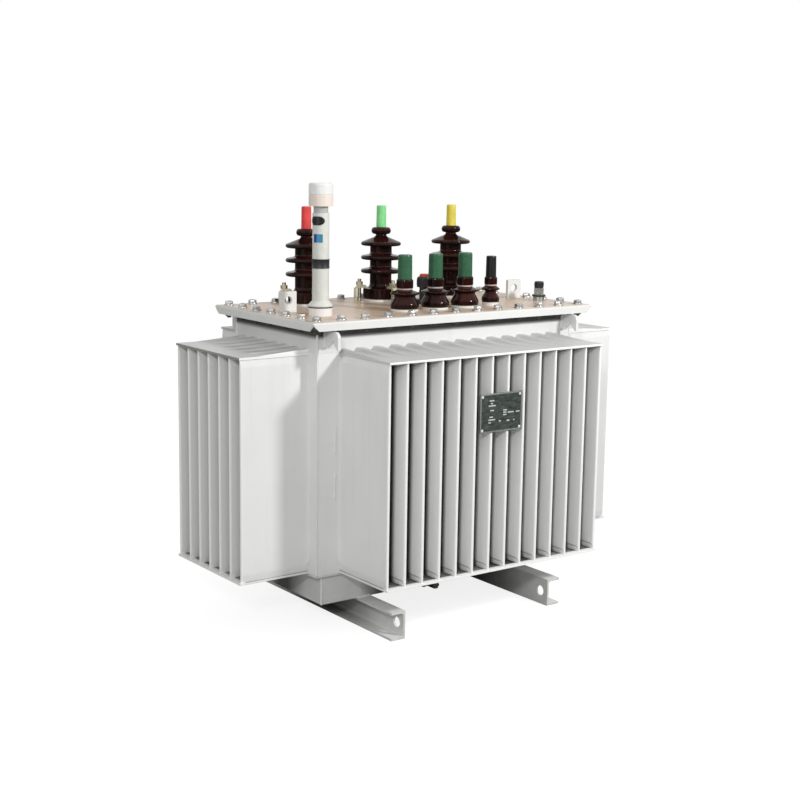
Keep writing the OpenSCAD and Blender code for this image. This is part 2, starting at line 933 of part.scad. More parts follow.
module lv_bushing(phase) {
    color(porcelain)
        translate([lv_offset + phase*lv_spacing, lv_y, seat_top])
            rotate_extrude()
                lv_section(lv_height, lv_foot_d, lv_waist_d, lv_shed_d, lv_head_d, lv_spigot_d);
}

module lv_bushing_a() {
    lv_bushing(-1);
}

module lv_bushing_b() {
    lv_bushing(0);
}

module lv_bushing_c() {
    lv_bushing(1);
}

module neutral_bushing() {
    color(porcelain)
        translate([neutral_x, lv_y, neutral_seat_top])
            rotate_extrude()
                lv_section(neutral_height, neutral_foot_d, neutral_waist_d, neutral_shed_d, neutral_head_d,
                           neutral_spigot_d);
}

module lv_sleeve(phase) {
    color([0.09, 0.33, 0.24])
        translate([lv_offset + phase*lv_spacing, lv_y, seat_top + lv_height])
            sleeve(lv_sleeve_d, lv_sleeve_height);
}

module lv_sleeve_a() {
    lv_sleeve(-1);
}

module lv_sleeve_b() {
    lv_sleeve(0);
}

module lv_sleeve_c() {
    lv_sleeve(1);
}

module neutral_sleeve() {
    color([0.10, 0.10, 0.10])
        translate([neutral_x, lv_y, neutral_seat_top + neutral_height])
            sleeve(neutral_sleeve_d, neutral_sleeve_height);
}

// Lid fittings

module gauge_foot() {
    color(paint)
        translate(gauge_place)
            cylinder(d = gauge_foot_d, h = gauge_foot_height);
}

// Tube of the oil level gauge, with a round-edged flange on its foot and a collar above it
module gauge_tube() {
    top = gauge_tube_height - gauge_foot_height;
    edge = gauge_flange_height/2;
    color([0.90, 0.90, 0.88])
        translate(gauge_place + [0, 0, gauge_foot_height])
            rotate_extrude()
                polygon(concat(
                    [[0, 0]],
                    arc([gauge_flange_d/2 - edge, edge], edge, -90, 60, nose_steps),
                    [[gauge_d/2, gauge_collar_height], [gauge_d/2, top], [0, top]]
                ));
}

// Screwed cap of the gauge, with its neck and a seam at half its height
module gauge_cap() {
    cap_r = gauge_cap_d/2;
    seam_r = cap_r - gauge_seam;
    seam_z = gauge_neck_height + gauge_cap_height/2;
    top = gauge_neck_height + gauge_cap_height;
    color([0.93, 0.93, 0.91])
        translate(gauge_place + [0, 0, gauge_tube_height])
            rotate_extrude()
                polygon(concat(
                    [
                        [0, 0], [gauge_neck_d/2, 0], [gauge_neck_d/2, gauge_neck_height],
                        [cap_r, gauge_neck_height], [cap_r, seam_z - gauge_seam], [seam_r, seam_z],
                        [cap_r, seam_z + gauge_seam]
                    ],
                    arc([cap_r - gauge_cap_edge, top - gauge_cap_edge], gauge_cap_edge, 0, 90, bend_steps),
                    [[0, top]]
                ));
}

// Half section of a round block with its upper edge rounded, standing on y = 0
module round_block(d, height, edge) {
    polygon(concat(
        [[0, 0], [d/2, 0]],
        arc([d/2 - edge, height - edge], edge, 0, 90, nose_steps),
        [[0, height]]
    ));
}

// Head of the tap changer on its flange and stem
module tap_changer() {
    head_top = tap_height - tap_knob_height;
    color([0.10, 0.10, 0.11])
        translate(tap_place) {
            cylinder(d = tap_flange_d, h = tap_flange_height);
            cylinder(d = tap_stem_d, h = head_top - tap_head_height/2);
            translate([0, 0, head_top - tap_head_height])
                rotate_extrude()
                    round_block(tap_d, tap_head_height, tap_head_edge);
        }
}

module tap_knob() {
    color([0.80, 0.22, 0.10])
        translate(tap_place + [0, 0, tap_height - tap_knob_height])
            rotate_extrude()
                round_block(tap_knob_d, tap_knob_height, tap_knob_edge);
}

// Thermometer pocket: a round foot, a flange on it and a hexagon
module thermometer_pocket() {
    color([0.70, 0.71, 0.72])
        translate(pocket_place) {
            cylinder(d = pocket_d, h = pocket_foot_height);
            translate([0, 0, pocket_foot_height])
                cylinder(d = pocket_flange_d, h = pocket_flange_height);
            cylinder(d = pocket_hex_d, h = pocket_height - pocket_cap_height, $fn = 6);
        }
}

module pocket_cap() {
    color([0.08, 0.08, 0.08])
        translate(pocket_place + [0, 0, pocket_height - pocket_cap_height])
            rotate_extrude()
                round_block(pocket_cap_d, pocket_cap_height, pocket_cap_edge);
}

// Nameplate and drain

module nameplate() {
    centre_z = wall_bottom + wall_height*nameplate_share;
    color([0.25, 0.32, 0.30])
        translate([-nameplate_width/2, -tank_width/2 - side_fin_depth - nameplate_thickness,
                   centre_z - nameplate_height/2])
            cube([nameplate_width, nameplate_thickness, nameplate_height]);
}

module drain_plug() {
    color([0.30, 0.31, 0.31])
        translate([-drain_offset, -base_size.y/2, rail_top + drain_d/2])
            rotate([90, 0, 0]) {
                cylinder(d = drain_d, h = drain_boss_length);
                cylinder(d = drain_plug_d, h = drain_length, $fn = 6);
            }
}

left_rail();
right_rail();
tank_base();
front_wall();
back_wall();
left_wall();
right_wall();
top_covers();
bottom_plates();
upper_band();
tank_flange();
lid_gasket();
lid();
front_left_hook();
front_right_hook();
back_left_hook();
back_right_hook();
left_lid_lug();
right_lid_lug();
bushing_seats();
hv_bushing_a();
hv_bushing_b();
hv_bushing_c();
hv_sleeve_a();
hv_sleeve_b();
hv_sleeve_c();
hv_clamps();
lv_bushing_a();
lv_bushing_b();
lv_bushing_c();
neutral_bushing();
lv_sleeve_a();
lv_sleeve_b();
lv_sleeve_c();
neutral_sleeve();
gauge_foot();
gauge_tube();
gauge_cap();
tap_changer();
tap_knob();
thermometer_pocket();
pocket_cap();
nameplate();
drain_plug();
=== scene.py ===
# %% [markdown]
# # A sealed distribution transformer
# The real object is a steel tank full of oil. Its walls are folded into thin cooling fins, a bolted lid carries
# brown porcelain bushings with coloured sleeves, and two channel rails carry it all. The solids come from the
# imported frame. This lesson gives every surface its finish and adds what is too small for the frame: bolts, nuts,
# weld beads, gaskets, the bands of the oil gauge, and the rim, bars and rivets of the rating plate.

# %% Load the frame
import json
import math

import bmesh
import bpy
from mathutils import Matrix, Vector


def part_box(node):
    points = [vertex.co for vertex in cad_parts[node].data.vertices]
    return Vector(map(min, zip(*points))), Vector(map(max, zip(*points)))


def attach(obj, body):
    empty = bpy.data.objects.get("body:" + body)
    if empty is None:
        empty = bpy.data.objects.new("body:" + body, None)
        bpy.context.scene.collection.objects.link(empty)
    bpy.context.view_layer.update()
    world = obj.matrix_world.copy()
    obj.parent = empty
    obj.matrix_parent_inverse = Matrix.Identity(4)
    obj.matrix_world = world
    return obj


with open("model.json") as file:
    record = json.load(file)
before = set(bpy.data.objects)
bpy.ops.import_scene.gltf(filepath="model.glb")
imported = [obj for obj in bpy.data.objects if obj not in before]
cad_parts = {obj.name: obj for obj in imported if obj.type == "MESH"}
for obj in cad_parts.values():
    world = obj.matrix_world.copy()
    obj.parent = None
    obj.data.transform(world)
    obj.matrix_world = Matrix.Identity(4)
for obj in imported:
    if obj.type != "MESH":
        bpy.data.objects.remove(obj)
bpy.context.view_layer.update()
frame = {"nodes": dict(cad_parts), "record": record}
nodes = frame["nodes"]

# %% [markdown]
# ## The camera
# A camera could be placed by eye. Here its angle, distance and lens come from lining up the lid's corners, the
# rails and the fin rows with the photograph, so that the render lies over it. The small roll keeps uprights tilted
# as they are there.

# %% Camera
IMAGE_SIDE = 800
FOCAL_PIXELS = 1434.3
SENSOR_MM = 36
AZIMUTH, ELEVATION, ROLL = (math.radians(angle) for angle in (-36.153, 9.790, 0.819))
AIM_POINT = Vector((-0.0751, -0.0792, 0.5314))
CAMERA_DISTANCE = 3.6316


def outward_way(turn, height):
    """The way from the object to what stands round it; turn is to the right of the front, both in radians."""
    return Vector((math.sin(turn)*math.cos(height), -math.cos(turn)*math.cos(height), math.sin(height)))


toward_camera = outward_way(AZIMUTH, ELEVATION)
camera_data = bpy.data.cameras.new("camera")
camera_data.sensor_width = SENSOR_MM
camera_data.lens = FOCAL_PIXELS/IMAGE_SIDE*SENSOR_MM
camera = bpy.data.objects.new("camera", camera_data)
bpy.context.scene.collection.objects.link(camera)
look = (-toward_camera).to_track_quat("-Z", "Y").to_matrix().to_4x4()
camera.matrix_world = (
    Matrix.Translation(AIM_POINT + toward_camera*CAMERA_DISTANCE) @ look @ Matrix.Rotation(ROLL, 4, "Z"))
bpy.context.scene.camera = camera
bpy.context.scene.view_settings.view_transform = "Standard"
print("lens", round(camera_data.lens, 2), "mm")

# %% [markdown]
# ## Light and floor
# The object stands in even white light with its main lamp at the front right, which is why the faces that look left
# stay a mid grey. A small lamp near the camera gives the second glint on the porcelain, and a broad weak one lifts
# the left. A world of one grey fills the shadows, and the camera and mirror-like rays see it as white. The floor is
# a pale plane that takes the shadow of the rails; some glow for the camera alone makes it as white as the backdrop.

# %% Node helpers


def add_node(tree, kind, **inputs):
    """A shader node with some of its sockets set."""
    made = tree.nodes.new(kind)
    for socket, value in inputs.items():
        made.inputs[socket.replace("_", " ")].default_value = value
    return made


def wire(tree, source, target):
    """A link from one socket to another."""
    tree.links.new(source, target)


def feed(tree, value, target):
    """Links a socket to another one, or sets it to a number or a colour."""
    if isinstance(value, bpy.types.NodeSocket):
        wire(tree, value, target)
    else:
        target.default_value = value


def add_math(tree, operation, first, second=0.0):
    """A Math node; each side is a number or a socket."""
    made = tree.nodes.new("ShaderNodeMath")
    made.operation = operation
    feed(tree, first, made.inputs[0])
    feed(tree, second, made.inputs[1])
    return made.outputs[0]


def times(tree, first, second):
    """One value times another."""
    return add_math(tree, "MULTIPLY", first, second)


def minus(tree, first, second):
    """One value less another."""
    return add_math(tree, "SUBTRACT", first, second)


print("node helpers ready")

# %% World
FILL_LEVEL = 0.44
WHITE = (1, 1, 1, 1)
world = bpy.data.worlds.new("studio")
bpy.context.scene.world = world
world.use_nodes = True
world_tree = world.node_tree
world_tree.nodes.clear()
ray = add_node(world_tree, "ShaderNodeLightPath").outputs
seen = add_math(world_tree, "MAXIMUM", ray["Is Camera Ray"], ray["Is Glossy Ray"])
seen_through = add_math(world_tree, "MAXIMUM", seen, ray["Is Transmission Ray"])
fill_light = add_node(world_tree, "ShaderNodeBackground", Color=WHITE, Strength=FILL_LEVEL)
white_backdrop = add_node(world_tree, "ShaderNodeBackground", Color=WHITE, Strength=1)
world_mix = add_node(world_tree, "ShaderNodeMixShader")
for source, target in zip((seen_through, fill_light.outputs[0], white_backdrop.outputs[0]), world_mix.inputs):
    wire(world_tree, source, target)
world_out = add_node(world_tree, "ShaderNodeOutputWorld")
wire(world_tree, world_mix.outputs[0], world_out.inputs["Surface"])
print("world fill", FILL_LEVEL)

# %% Lamps
LAMP_AIM = Vector((0, 0, 0.5))


def add_softbox(name, turn, height, distance, side, watts):
    """A square lamp that looks at the middle of the object, with its turn and height in degrees."""
    lamp = bpy.data.lights.new(name, "AREA")
    lamp.size = side
    lamp.energy = watts
    holder = bpy.data.objects.new(name, lamp)
    bpy.context.scene.collection.objects.link(holder)
    outward = outward_way(math.radians(turn), math.radians(height))
    holder.location = LAMP_AIM + outward*distance
    holder.rotation_euler = (-outward).to_track_quat("-Z", "Y").to_euler()


add_softbox("key_softbox", turn=22, height=29, distance=2.8, side=0.28, watts=42)
add_softbox("glint_lamp", turn=-43, height=22, distance=5, side=0.35, watts=46)
add_softbox("left_fill", turn=-70, height=12, distance=6, side=4, watts=26)

# %% Floor
FLOOR_SIDE = 60
FLOOR_GLOW = 0.84
FLOOR_GREY = (0.38, 0.38, 0.375, 1)
bpy.ops.object.select_all(action="DESELECT")
bpy.ops.mesh.primitive_plane_add(size=FLOOR_SIDE)
floor = bpy.context.object
floor.name = "floor"
floor_paint = bpy.data.materials.new("pale_floor")
floor_paint.use_nodes = True
floor_tree = floor_paint.node_tree
floor_tree.nodes.clear()
floor_ray = add_node(floor_tree, "ShaderNodeLightPath").outputs
glow = add_node(floor_tree, "ShaderNodeEmission", Color=WHITE)
wire(floor_tree, times(floor_tree, floor_ray["Is Camera Ray"], FLOOR_GLOW), glow.inputs["Strength"])
matt = add_node(floor_tree, "ShaderNodeBsdfDiffuse", Color=FLOOR_GREY)
both = add_node(floor_tree, "ShaderNodeAddShader")
wire(floor_tree, matt.outputs[0], both.inputs[0])
wire(floor_tree, glow.outputs[0], both.inputs[1])
floor_out = add_node(floor_tree, "ShaderNodeOutputMaterial")
wire(floor_tree, both.outputs[0], floor_out.inputs["Surface"])
floor.data.materials.append(floor_paint)
print("floor", FLOOR_SIDE, "m")

# %% [markdown]
# ## Shared effects
# Most of the object wears one grey enamel, but it doesn't look the same everywhere: the sheet waves a little, the
# sprayed film has a fine orange peel, dust settles on what faces up and splashes stay near the ground. These could
# be painted into each material; as node groups they are built once and set again in each one.

# %% Group helpers


def new_group(name, inputs, outputs):
    """An empty shader group with named number sockets, and its two end nodes."""
    tree = bpy.data.node_groups.new(name, "ShaderNodeTree")
    for socket, value in inputs.items():
        made = tree.interface.new_socket(socket, in_out="INPUT", socket_type="NodeSocketFloat")
        made.default_value = value
    for socket in outputs:
        tree.interface.new_socket(socket, in_out="OUTPUT", socket_type="NodeSocketFloat")
    return tree, tree.nodes.new("NodeGroupInput"), tree.nodes.new("NodeGroupOutput")


def add_range(tree, value, low, high, to_low=0.0, to_high=1.0):
    """A Map Range node that clamps."""
    made = tree.nodes.new("ShaderNodeMapRange")
    for socket, number in (("From Min", low), ("From Max", high), ("To Min", to_low), ("To Max", to_high)):
        made.inputs[socket].default_value = number
    wire(tree, value, made.inputs["Value"])
    return made.outputs["Result"]


def add_noise(tree, scale, detail=2.0, stretch=(1, 1, 1), rough=0.5):
    """Noise on Object coordinates, stretched along the axes."""
    place = tree.nodes.new("ShaderNodeTexCoord")
    shift = add_node(tree, "ShaderNodeMapping", Scale=stretch)
    wire(tree, place.outputs["Object"], shift.inputs["Vector"])
    made = add_node(tree, "ShaderNodeTexNoise", Scale=scale, Detail=detail, Roughness=rough)
    wire(tree, shift.outputs["Vector"], made.inputs["Vector"])
    return made.outputs["Fac"]


def add_mix(tree, amount, first, second):
    """A colour mix; each colour is a tuple or a socket."""
    made = tree.nodes.new("ShaderNodeMix")
    made.data_type = "RGBA"
    for value, socket in ((amount, made.inputs["Factor"]), (first, made.inputs[6]), (second, made.inputs[7])):
        feed(tree, value, socket)
    return made.outputs[2]


def split_axes(tree, source):
    """X, Y and Z of a vector."""
    split = tree.nodes.new("ShaderNodeSeparateXYZ")
    wire(tree, source, split.inputs[0])
    return split.outputs


def place_axes(tree):
    """X, Y and Z of the Object coordinates."""
    return split_axes(tree, tree.nodes.new("ShaderNodeTexCoord").outputs["Object"])


def face_axes(tree):
    """X, Y and Z of the way a face looks."""
    return split_axes(tree, tree.nodes.new("ShaderNodeNewGeometry").outputs["Normal"])


print("group helpers ready")

# %% Uneven film: the peel and the waves of a sprayed sheet
PEEL_SCALE, WAVE_SCALE, TONE_SCALE = 420, 9, 5
film, film_in, film_out = new_group("uneven_film", {"Peel": 0.3, "Wave": 1.0}, ("Height", "Tone"))
peel = times(film, add_noise(film, PEEL_SCALE, detail=1), film_in.outputs["Peel"])
wave = times(film, add_noise(film, WAVE_SCALE, detail=1), film_in.outputs["Wave"])
wire(film, add_math(film, "ADD", peel, wave), film_out.inputs["Height"])
wire(film, add_noise(film, TONE_SCALE, detail=4), film_out.inputs["Tone"])
print("group", film.name)

# %% Faces that look up, in uneven patches: settled dust, and on the bottom plates painted shade
dust, dust_in, dust_out = new_group("settled_dust", {"Amount": 0.5}, ("Mask",))
looks_up = add_range(dust, face_axes(dust)["Z"], low=0.55, high=0.98)
patches = add_range(dust, add_noise(dust, scale=7, detail=5, rough=0.6), low=0.25, high=0.65, to_low=0.55)
grains = add_range(dust, add_noise(dust, scale=260), low=0.3, high=0.7, to_low=0.8)
settled = times(dust, times(dust, looks_up, patches), grains)
wire(dust, times(dust, settled, dust_in.outputs["Amount"]), dust_out.inputs["Mask"])
print("group", dust.name)

# %% Splashes and runs: low dirt and the faint streaks that rain leaves
splash, splash_in, splash_out = new_group("splash_and_runs", {"Reach": 0.22, "Runs": 0.3}, ("Splash", "Runs"))
climb = add_math(splash, "DIVIDE", place_axes(splash)["Z"], splash_in.outputs["Reach"])
near_ground = add_range(splash, minus(splash, 1.0, climb), low=0, high=1)
specks = add_range(splash, add_noise(splash, scale=28, detail=6, rough=0.7), low=0.42, high=0.72)
wire(splash, times(splash, near_ground, specks), splash_out.inputs["Splash"])
streaks = add_range(splash, add_noise(splash, scale=36, detail=3, stretch=(1, 1, 0.06)), low=0.52, high=0.75)
wire(splash, times(splash, streaks, splash_in.outputs["Runs"]), splash_out.inputs["Runs"])
print("group", splash.name)

# %% Fin masks: painted shade deep between fins, in and above the creases of their pressed ends, highlights on noses
NOSE_EDGE = (0.0025, 0.0045)
CREASE_TURN, CREASE_DROP = 0.012, 0.011
CREASE_WIDTH = (0.0004, 0.0028)
CREASE_START = (0.001, 0.003)
WEDGE_FADE = 0.0015


def make_fin_group(name, depth_axis, row_axis):
    """Masks that follow a row of fins: Nose is how far out it reaches, Row half its length."""
    group, start, end = new_group(
        name, dict.fromkeys(("Nose", "Row", "Near", "Far", "Foot", "Head", "Slope"), 0.0),
        ("Inside", "Deep", "Crease", "Wedge", "Edge"))
    given, axes = start.outputs, place_axes(group)
    depth = minus(group, given["Nose"], add_math(group, "ABSOLUTE", axes[depth_axis]))
    inside = add_math(group, "LESS_THAN", add_math(group, "ABSOLUTE", axes[row_axis]), given["Row"])
    wire(group, inside, end.inputs["Inside"])
    past_near = minus(group, depth, given["Near"])
    run = minus(group, given["Far"], given["Near"])
    deep = add_range(group, add_math(group, "DIVIDE", past_near, run), low=0, high=1)
    wire(group, times(group, deep, inside), end.inputs["Deep"])
    wire(group, add_range(group, depth, *NOSE_EDGE, to_low=1, to_high=0), end.inputs["Edge"])
    # The lower crease runs level and turns down at the nose, the upper one falls away from the nose
    turned = add_math(group, "POWER", add_range(group, depth, low=0, high=CREASE_TURN, to_low=1, to_high=0), 2)
    low_line = minus(group, given["Foot"], times(group, turned, CREASE_DROP))
    high_line = minus(group, given["Head"], times(group, depth, given["Slope"]))
    lines = []
    for line in (low_line, high_line):
        off_line = add_math(group, "ABSOLUTE", minus(group, axes["Z"], line))
        lines.append(add_range(group, off_line, *CREASE_WIDTH, to_low=1, to_high=0))
    crease = times(group, add_math(group, "MAXIMUM", *lines), inside)
    behind_nose = add_range(group, depth, *CREASE_START)
    wire(group, times(group, crease, behind_nose), end.inputs["Crease"])
    over = add_range(group, minus(group, axes["Z"], high_line), low=0, high=WEDGE_FADE)
    wire(group, times(group, over, inside), end.inputs["Wedge"])
    return group


side_fin_shade = make_fin_group("side_fin_shade", "Y", "X")
end_fin_shade = make_fin_group("end_fin_shade", "X", "Y")
print("groups", side_fin_shade.name, end_fin_shade.name)

# %% [markdown]
# ## The grey enamel
# The tank is sprayed light grey. A plain glossy shader would do, but the edges of folded sheet are never sharp, so a
# Bevel node rounds the normal there and lets edges catch light. Painted shade goes over it under the lid, deep
# between the fins, in their creases and on the plates below them, and under the fins and the tank, while the fin
# noses and the outer edges of sheet get a painted highlight; some parts take darker copies of the paint as painted
# shade. The lid has the same paint under a warm, half glossy film of dust, with a paler rim that is painted
# reflection.

# %% Material helpers
EDGE_ROUND = 0.0012


def opaque(colour):
    """A colour with its alpha."""
    return (*colour, 1)


def new_material(name, specular=0.5):
    """A material, its tree and its Principled shader."""
    material = bpy.data.materials.new(name)
    material.use_nodes = True
    tree = material.node_tree
    shader = tree.nodes["Principled BSDF"]
    shader.inputs["Specular IOR Level"].default_value = specular
    return material, tree, shader


def add_group(tree, group, **values):
    """A group node with its sockets set."""
    made = tree.nodes.new("ShaderNodeGroup")
    made.node_tree = group
    for socket, value in values.items():
        made.inputs[socket].default_value = value
    return made


def add_bump(tree, shader, height, distance, strength=1.0, edge=EDGE_ROUND):
    """Bump over a rounded edge, into the shader's normal."""
    bump = add_node(tree, "ShaderNodeBump", Strength=strength, Distance=distance)
    wire(tree, height, bump.inputs["Height"])
    rounded = add_node(tree, "ShaderNodeBevel", Radius=edge)
    rounded.samples = 4
    wire(tree, rounded.outputs["Normal"], bump.inputs["Normal"])
    wire(tree, bump.outputs["Normal"], shader.inputs["Normal"])


def set_roughness(tree, shader, noise, smooth, rough):
    """Roughness that noise moves between two values."""
    wire(tree, add_range(tree, noise, low=0.3, high=0.7, to_low=smooth, to_high=rough), shader.inputs["Roughness"])


print("material helpers ready")

# %% Enamel
PAINT_GREY = (0.87, 0.875, 0.865)
# A darker copy of the paint, used as painted shade on the base and the rails.
SHADED_GREY = (0.74, 0.745, 0.735)
PALE_DUST = (0.66, 0.62, 0.56)
RUN_TINT, RUN_STRENGTH = (0.42, 0.40, 0.36, 1), 0.25
SPLASH_TINT, SPLASH_STRENGTH = (0.36, 0.31, 0.25, 1), 0.35
SPLASH_DULL = 0.2
DARK_TONE = 0.93


def make_enamel(name, paint, up_tint=PALE_DUST, up_amount=0.3, gloss=0.34, dull=0.4, specular=0.3, runs=0.3,
                painted_light=()):
    """Enamel with unevenness, up-face tint, splashes, runs; painted light and shade as mask maker, strength, colour.
    """
    material, tree, shader = new_material(name, specular)
    film_node = add_group(tree, film, Peel=0.10, Wave=1.0)
    up_mask = add_group(tree, dust, Amount=up_amount).outputs["Mask"]
    splash_node = add_group(tree, splash, Reach=0.2, Runs=runs)
    darker = opaque(channel*DARK_TONE for channel in paint)
    colour = add_mix(tree, add_range(tree, film_node.outputs["Tone"], low=0.3, high=0.7), darker, opaque(paint))
    run_mask = times(tree, splash_node.outputs["Runs"], RUN_STRENGTH)
    colour = add_mix(tree, run_mask, colour, RUN_TINT)
    splash_mask = times(tree, splash_node.outputs["Splash"], SPLASH_STRENGTH)
    colour = add_mix(tree, splash_mask, colour, SPLASH_TINT)
    colour = add_mix(tree, up_mask, colour, opaque(up_tint))
    for mask, strength, tint in painted_light:
        colour = add_mix(tree, times(tree, mask(tree), strength), colour, opaque(tint))
    wire(tree, colour, shader.inputs["Base Color"])
    dulled = add_math(tree, "ADD", times(tree, up_mask, dull), gloss)
    splashed = times(tree, splash_node.outputs["Splash"], SPLASH_DULL)
    wire(tree, add_math(tree, "ADD", dulled, splashed), shader.inputs["Roughness"])
    add_bump(tree, shader, film_node.outputs["Height"], distance=0.0009)
    return material


grey_enamel = make_enamel("grey_enamel", PAINT_GREY)
# The flange under the lid is painted near black, as the shade in the gap under the lid.
flange_enamel = make_enamel("shaded_flange_enamel", (0.16, 0.16, 0.15), (0.10, 0.09, 0.08), up_amount=0.4)
print("enamel:", grey_enamel.name, flange_enamel.name)

# %% Masks for the painted shade and highlights
band_high, lid_high, shelf_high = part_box("upper_band")[1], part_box("lid")[1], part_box("bottom_plates")[1]
FACE_FADE = (0.6, 0.9)
LID_SHADE = (0.029, 0.019)
COVER_ENDS = (0.50, 0.55)
LIP_WIDTH = (0.018, 0.010)
RAIL_SHADE = (0.03, 0.23)
BASE_SHADE = (("X", "Y", (0.20, 0.26)), ("Y", "X", (0.02, 0.10)))
RIM_WIDTH = (0.01, 0.065)


def off_middle(tree, axis):
    """How far a point lies from the middle of the tank along an axis."""
    return add_math(tree, "ABSOLUTE", place_axes(tree)[axis])


def looks_along(tree, axis):
    """Faces that look along an axis, either way."""
    return add_range(tree, add_math(tree, "ABSOLUTE", face_axes(tree)[axis]), *FACE_FADE)


def under_lid(tree):
    """The top of the band, painted dark as the shade under the lid."""
    return add_range(tree, place_axes(tree)["Z"], *(band_high.z - down for down in LID_SHADE))


def between_fins(group, output, values):
    """A maker for one of the masks of a row of fins."""
    return lambda tree: add_group(tree, group, **values).outputs[output]


def shaded_end_edges(tree):
    """The sheared edges of the end covers, which look along the tank, where shade is painted."""
    far_out = add_range(tree, off_middle(tree, "X"), *COVER_ENDS)
    return times(tree, looks_along(tree, "X"), far_out)


def lit_side_edges(tree):
    """Sheared edges that look to the front or the back, where a highlight is painted."""
    return looks_along(tree, "Y")


def plate_lip(tree):
    """The outer strip of the bottom plates, where a highlight is painted."""
    strips = [add_range(tree, off_middle(tree, axis), *(reach - inward for inward in LIP_WIDTH))
              for axis, reach in (("X", shelf_high.x), ("Y", shelf_high.y))]
    return add_math(tree, "MAXIMUM", *strips)


def under_tank(tree):
    """The middle of a rail, painted dark as the shade under the tank."""
    return add_range(tree, off_middle(tree, "Y"), *RAIL_SHADE, to_low=1, to_high=0)


def under_fins(tree):
    """The middle of each side of the base, painted dark as the shade under the fins."""
    masks = []
    for along_side, across, fade in BASE_SHADE:
        middle = add_range(tree, off_middle(tree, along_side), *fade, to_low=1, to_high=0)
        masks.append(times(tree, middle, looks_along(tree, across)))
    return add_math(tree, "MAXIMUM", *masks)


def lid_rim_reflection(tree):
    """Near the edges of the lid's top, in patches: a paler film painted as reflection."""
    to_end = minus(tree, lid_high.x, off_middle(tree, "X"))
    to_side = minus(tree, lid_high.y, off_middle(tree, "Y"))
    rim_band = add_range(tree, add_math(tree, "MINIMUM", to_end, to_side), *RIM_WIDTH, to_low=1, to_high=0)
    rim_patches = add_range(tree, add_noise(tree, scale=16, detail=4), low=0.35, high=0.6, to_low=0.4)
    on_top = add_range(tree, face_axes(tree)["Z"], low=0.6, high=0.95)
    return times(tree, times(tree, rim_band, rim_patches), on_top)


print("lid top at", round(lid_high.z, 4), "band top at", round(band_high.z, 4))

# %% Enamel with painted shade and highlights, and for the lid
# Near black for painted shade: under the lid, deep between the fins, in their creases, under the fins and the tank.
PAINTED_SHADE = (0.045, 0.044, 0.040)
# Near white for painted highlights: the fin noses, the plates' outer strips, the covers' front and back.
LIT_EDGE = (0.97, 0.97, 0.955)
# Dark olive for the painted shade on the ends of the covers.
SHADED_OLIVE = (0.30, 0.30, 0.25)
LID_FILM, LID_RIM_REFLECTION = (0.66, 0.485, 0.345), (0.73, 0.66, 0.61)
# The middle of the base's sides is painted darker still: painted shade under the fins.
base_enamel = make_enamel("base_enamel", SHADED_GREY, painted_light=[(under_fins, 0.9, PAINTED_SHADE)])
# Rails: the darker copy of the paint, a near-white tint on faces that look up, painted shade under the tank.
rail_enamel = make_enamel(
    "rail_enamel", SHADED_GREY, (0.92, 0.91, 0.88), up_amount=0.9, painted_light=[(under_tank, 0.9, PAINTED_SHADE)])
# A slightly darker copy of the paint as painted shade; the band's top is painted near black as shade under the lid.
band_enamel = make_enamel("band_enamel", (0.82, 0.825, 0.805), painted_light=[(under_lid, 0.96, PAINTED_SHADE)])
# Faces that look up go near black, painted shade between the fins; the outer strip gets a painted highlight.
plate_enamel = make_enamel(
    "shaded_plate_enamel", PAINT_GREY, (0.055, 0.056, 0.052), up_amount=1.2, painted_light=[(plate_lip, 1.0, LIT_EDGE)])
# Covers: a darker copy of the paint as painted shade, painted highlight front and back, painted shade at the ends.
cover_enamel = make_enamel(
    "cover_enamel", (0.67, 0.68, 0.675), up_amount=0.15,
    painted_light=[(lit_side_edges, 1.0, LIT_EDGE), (shaded_end_edges, 0.85, SHADED_OLIVE)])
# The lid's film turns paler near its rim: a painted reflection.
lid_enamel = make_enamel(
    "dusty_lid_enamel", (0.82, 0.82, 0.80), LID_FILM, up_amount=1.3, gloss=0.3, dull=0, specular=0.12, runs=0.15,
    painted_light=[(lid_rim_reflection, 0.75, LID_RIM_REFLECTION)])
print("enamel:", [made.name for made in bpy.data.materials if "enamel" in made.name])

# %% Enamel for the finned walls
# Flanks inside a row are painted lighter than the end fins' outer faces: painted light.
LIT_FLANK = (0.96, 0.965, 0.955)
CREASE_RISE = 0.012
fin_head, fin_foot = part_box("top_covers")[0].z, shelf_high.z
side_row = {"Nose": -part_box("front_wall")[0].y, "Row": 0.325, "Near": 0.037, "Far": 0.053, "Slope": 0.32,
            "Foot": fin_foot + CREASE_RISE, "Head": fin_head}
end_row = {**side_row, "Nose": -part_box("left_wall")[0].x, "Row": 0.150, "Near": 0.012, "Far": 0.040, "Slope": 0.28}


def fin_light_and_shade(group, row, *painted_light):
    """Painted light and shade from the masks of a row of fins; each is a mask's name, a strength and a colour."""
    return [(between_fins(group, output, row), strength, tint) for output, strength, tint in painted_light]


# Painted shade deep between fins and in and above the creases of their ends; painted highlight on the noses.
side_fin_enamel = make_enamel("side_fin_enamel", PAINT_GREY, painted_light=fin_light_and_shade(
    side_fin_shade, side_row, ("Inside", 1.0, LIT_FLANK), ("Deep", 0.97, PAINTED_SHADE), ("Crease", 0.5, PAINTED_SHADE),
    ("Edge", 1.0, LIT_EDGE)))
end_fin_enamel = make_enamel("end_fin_enamel", PAINT_GREY, painted_light=fin_light_and_shade(
    end_fin_shade, end_row, ("Inside", 1.0, LIT_FLANK), ("Deep", 0.35, PAINTED_SHADE), ("Wedge", 0.9, PAINTED_SHADE),
    ("Edge", 1.0, LIT_EDGE)))
print("rows", side_row, end_row)

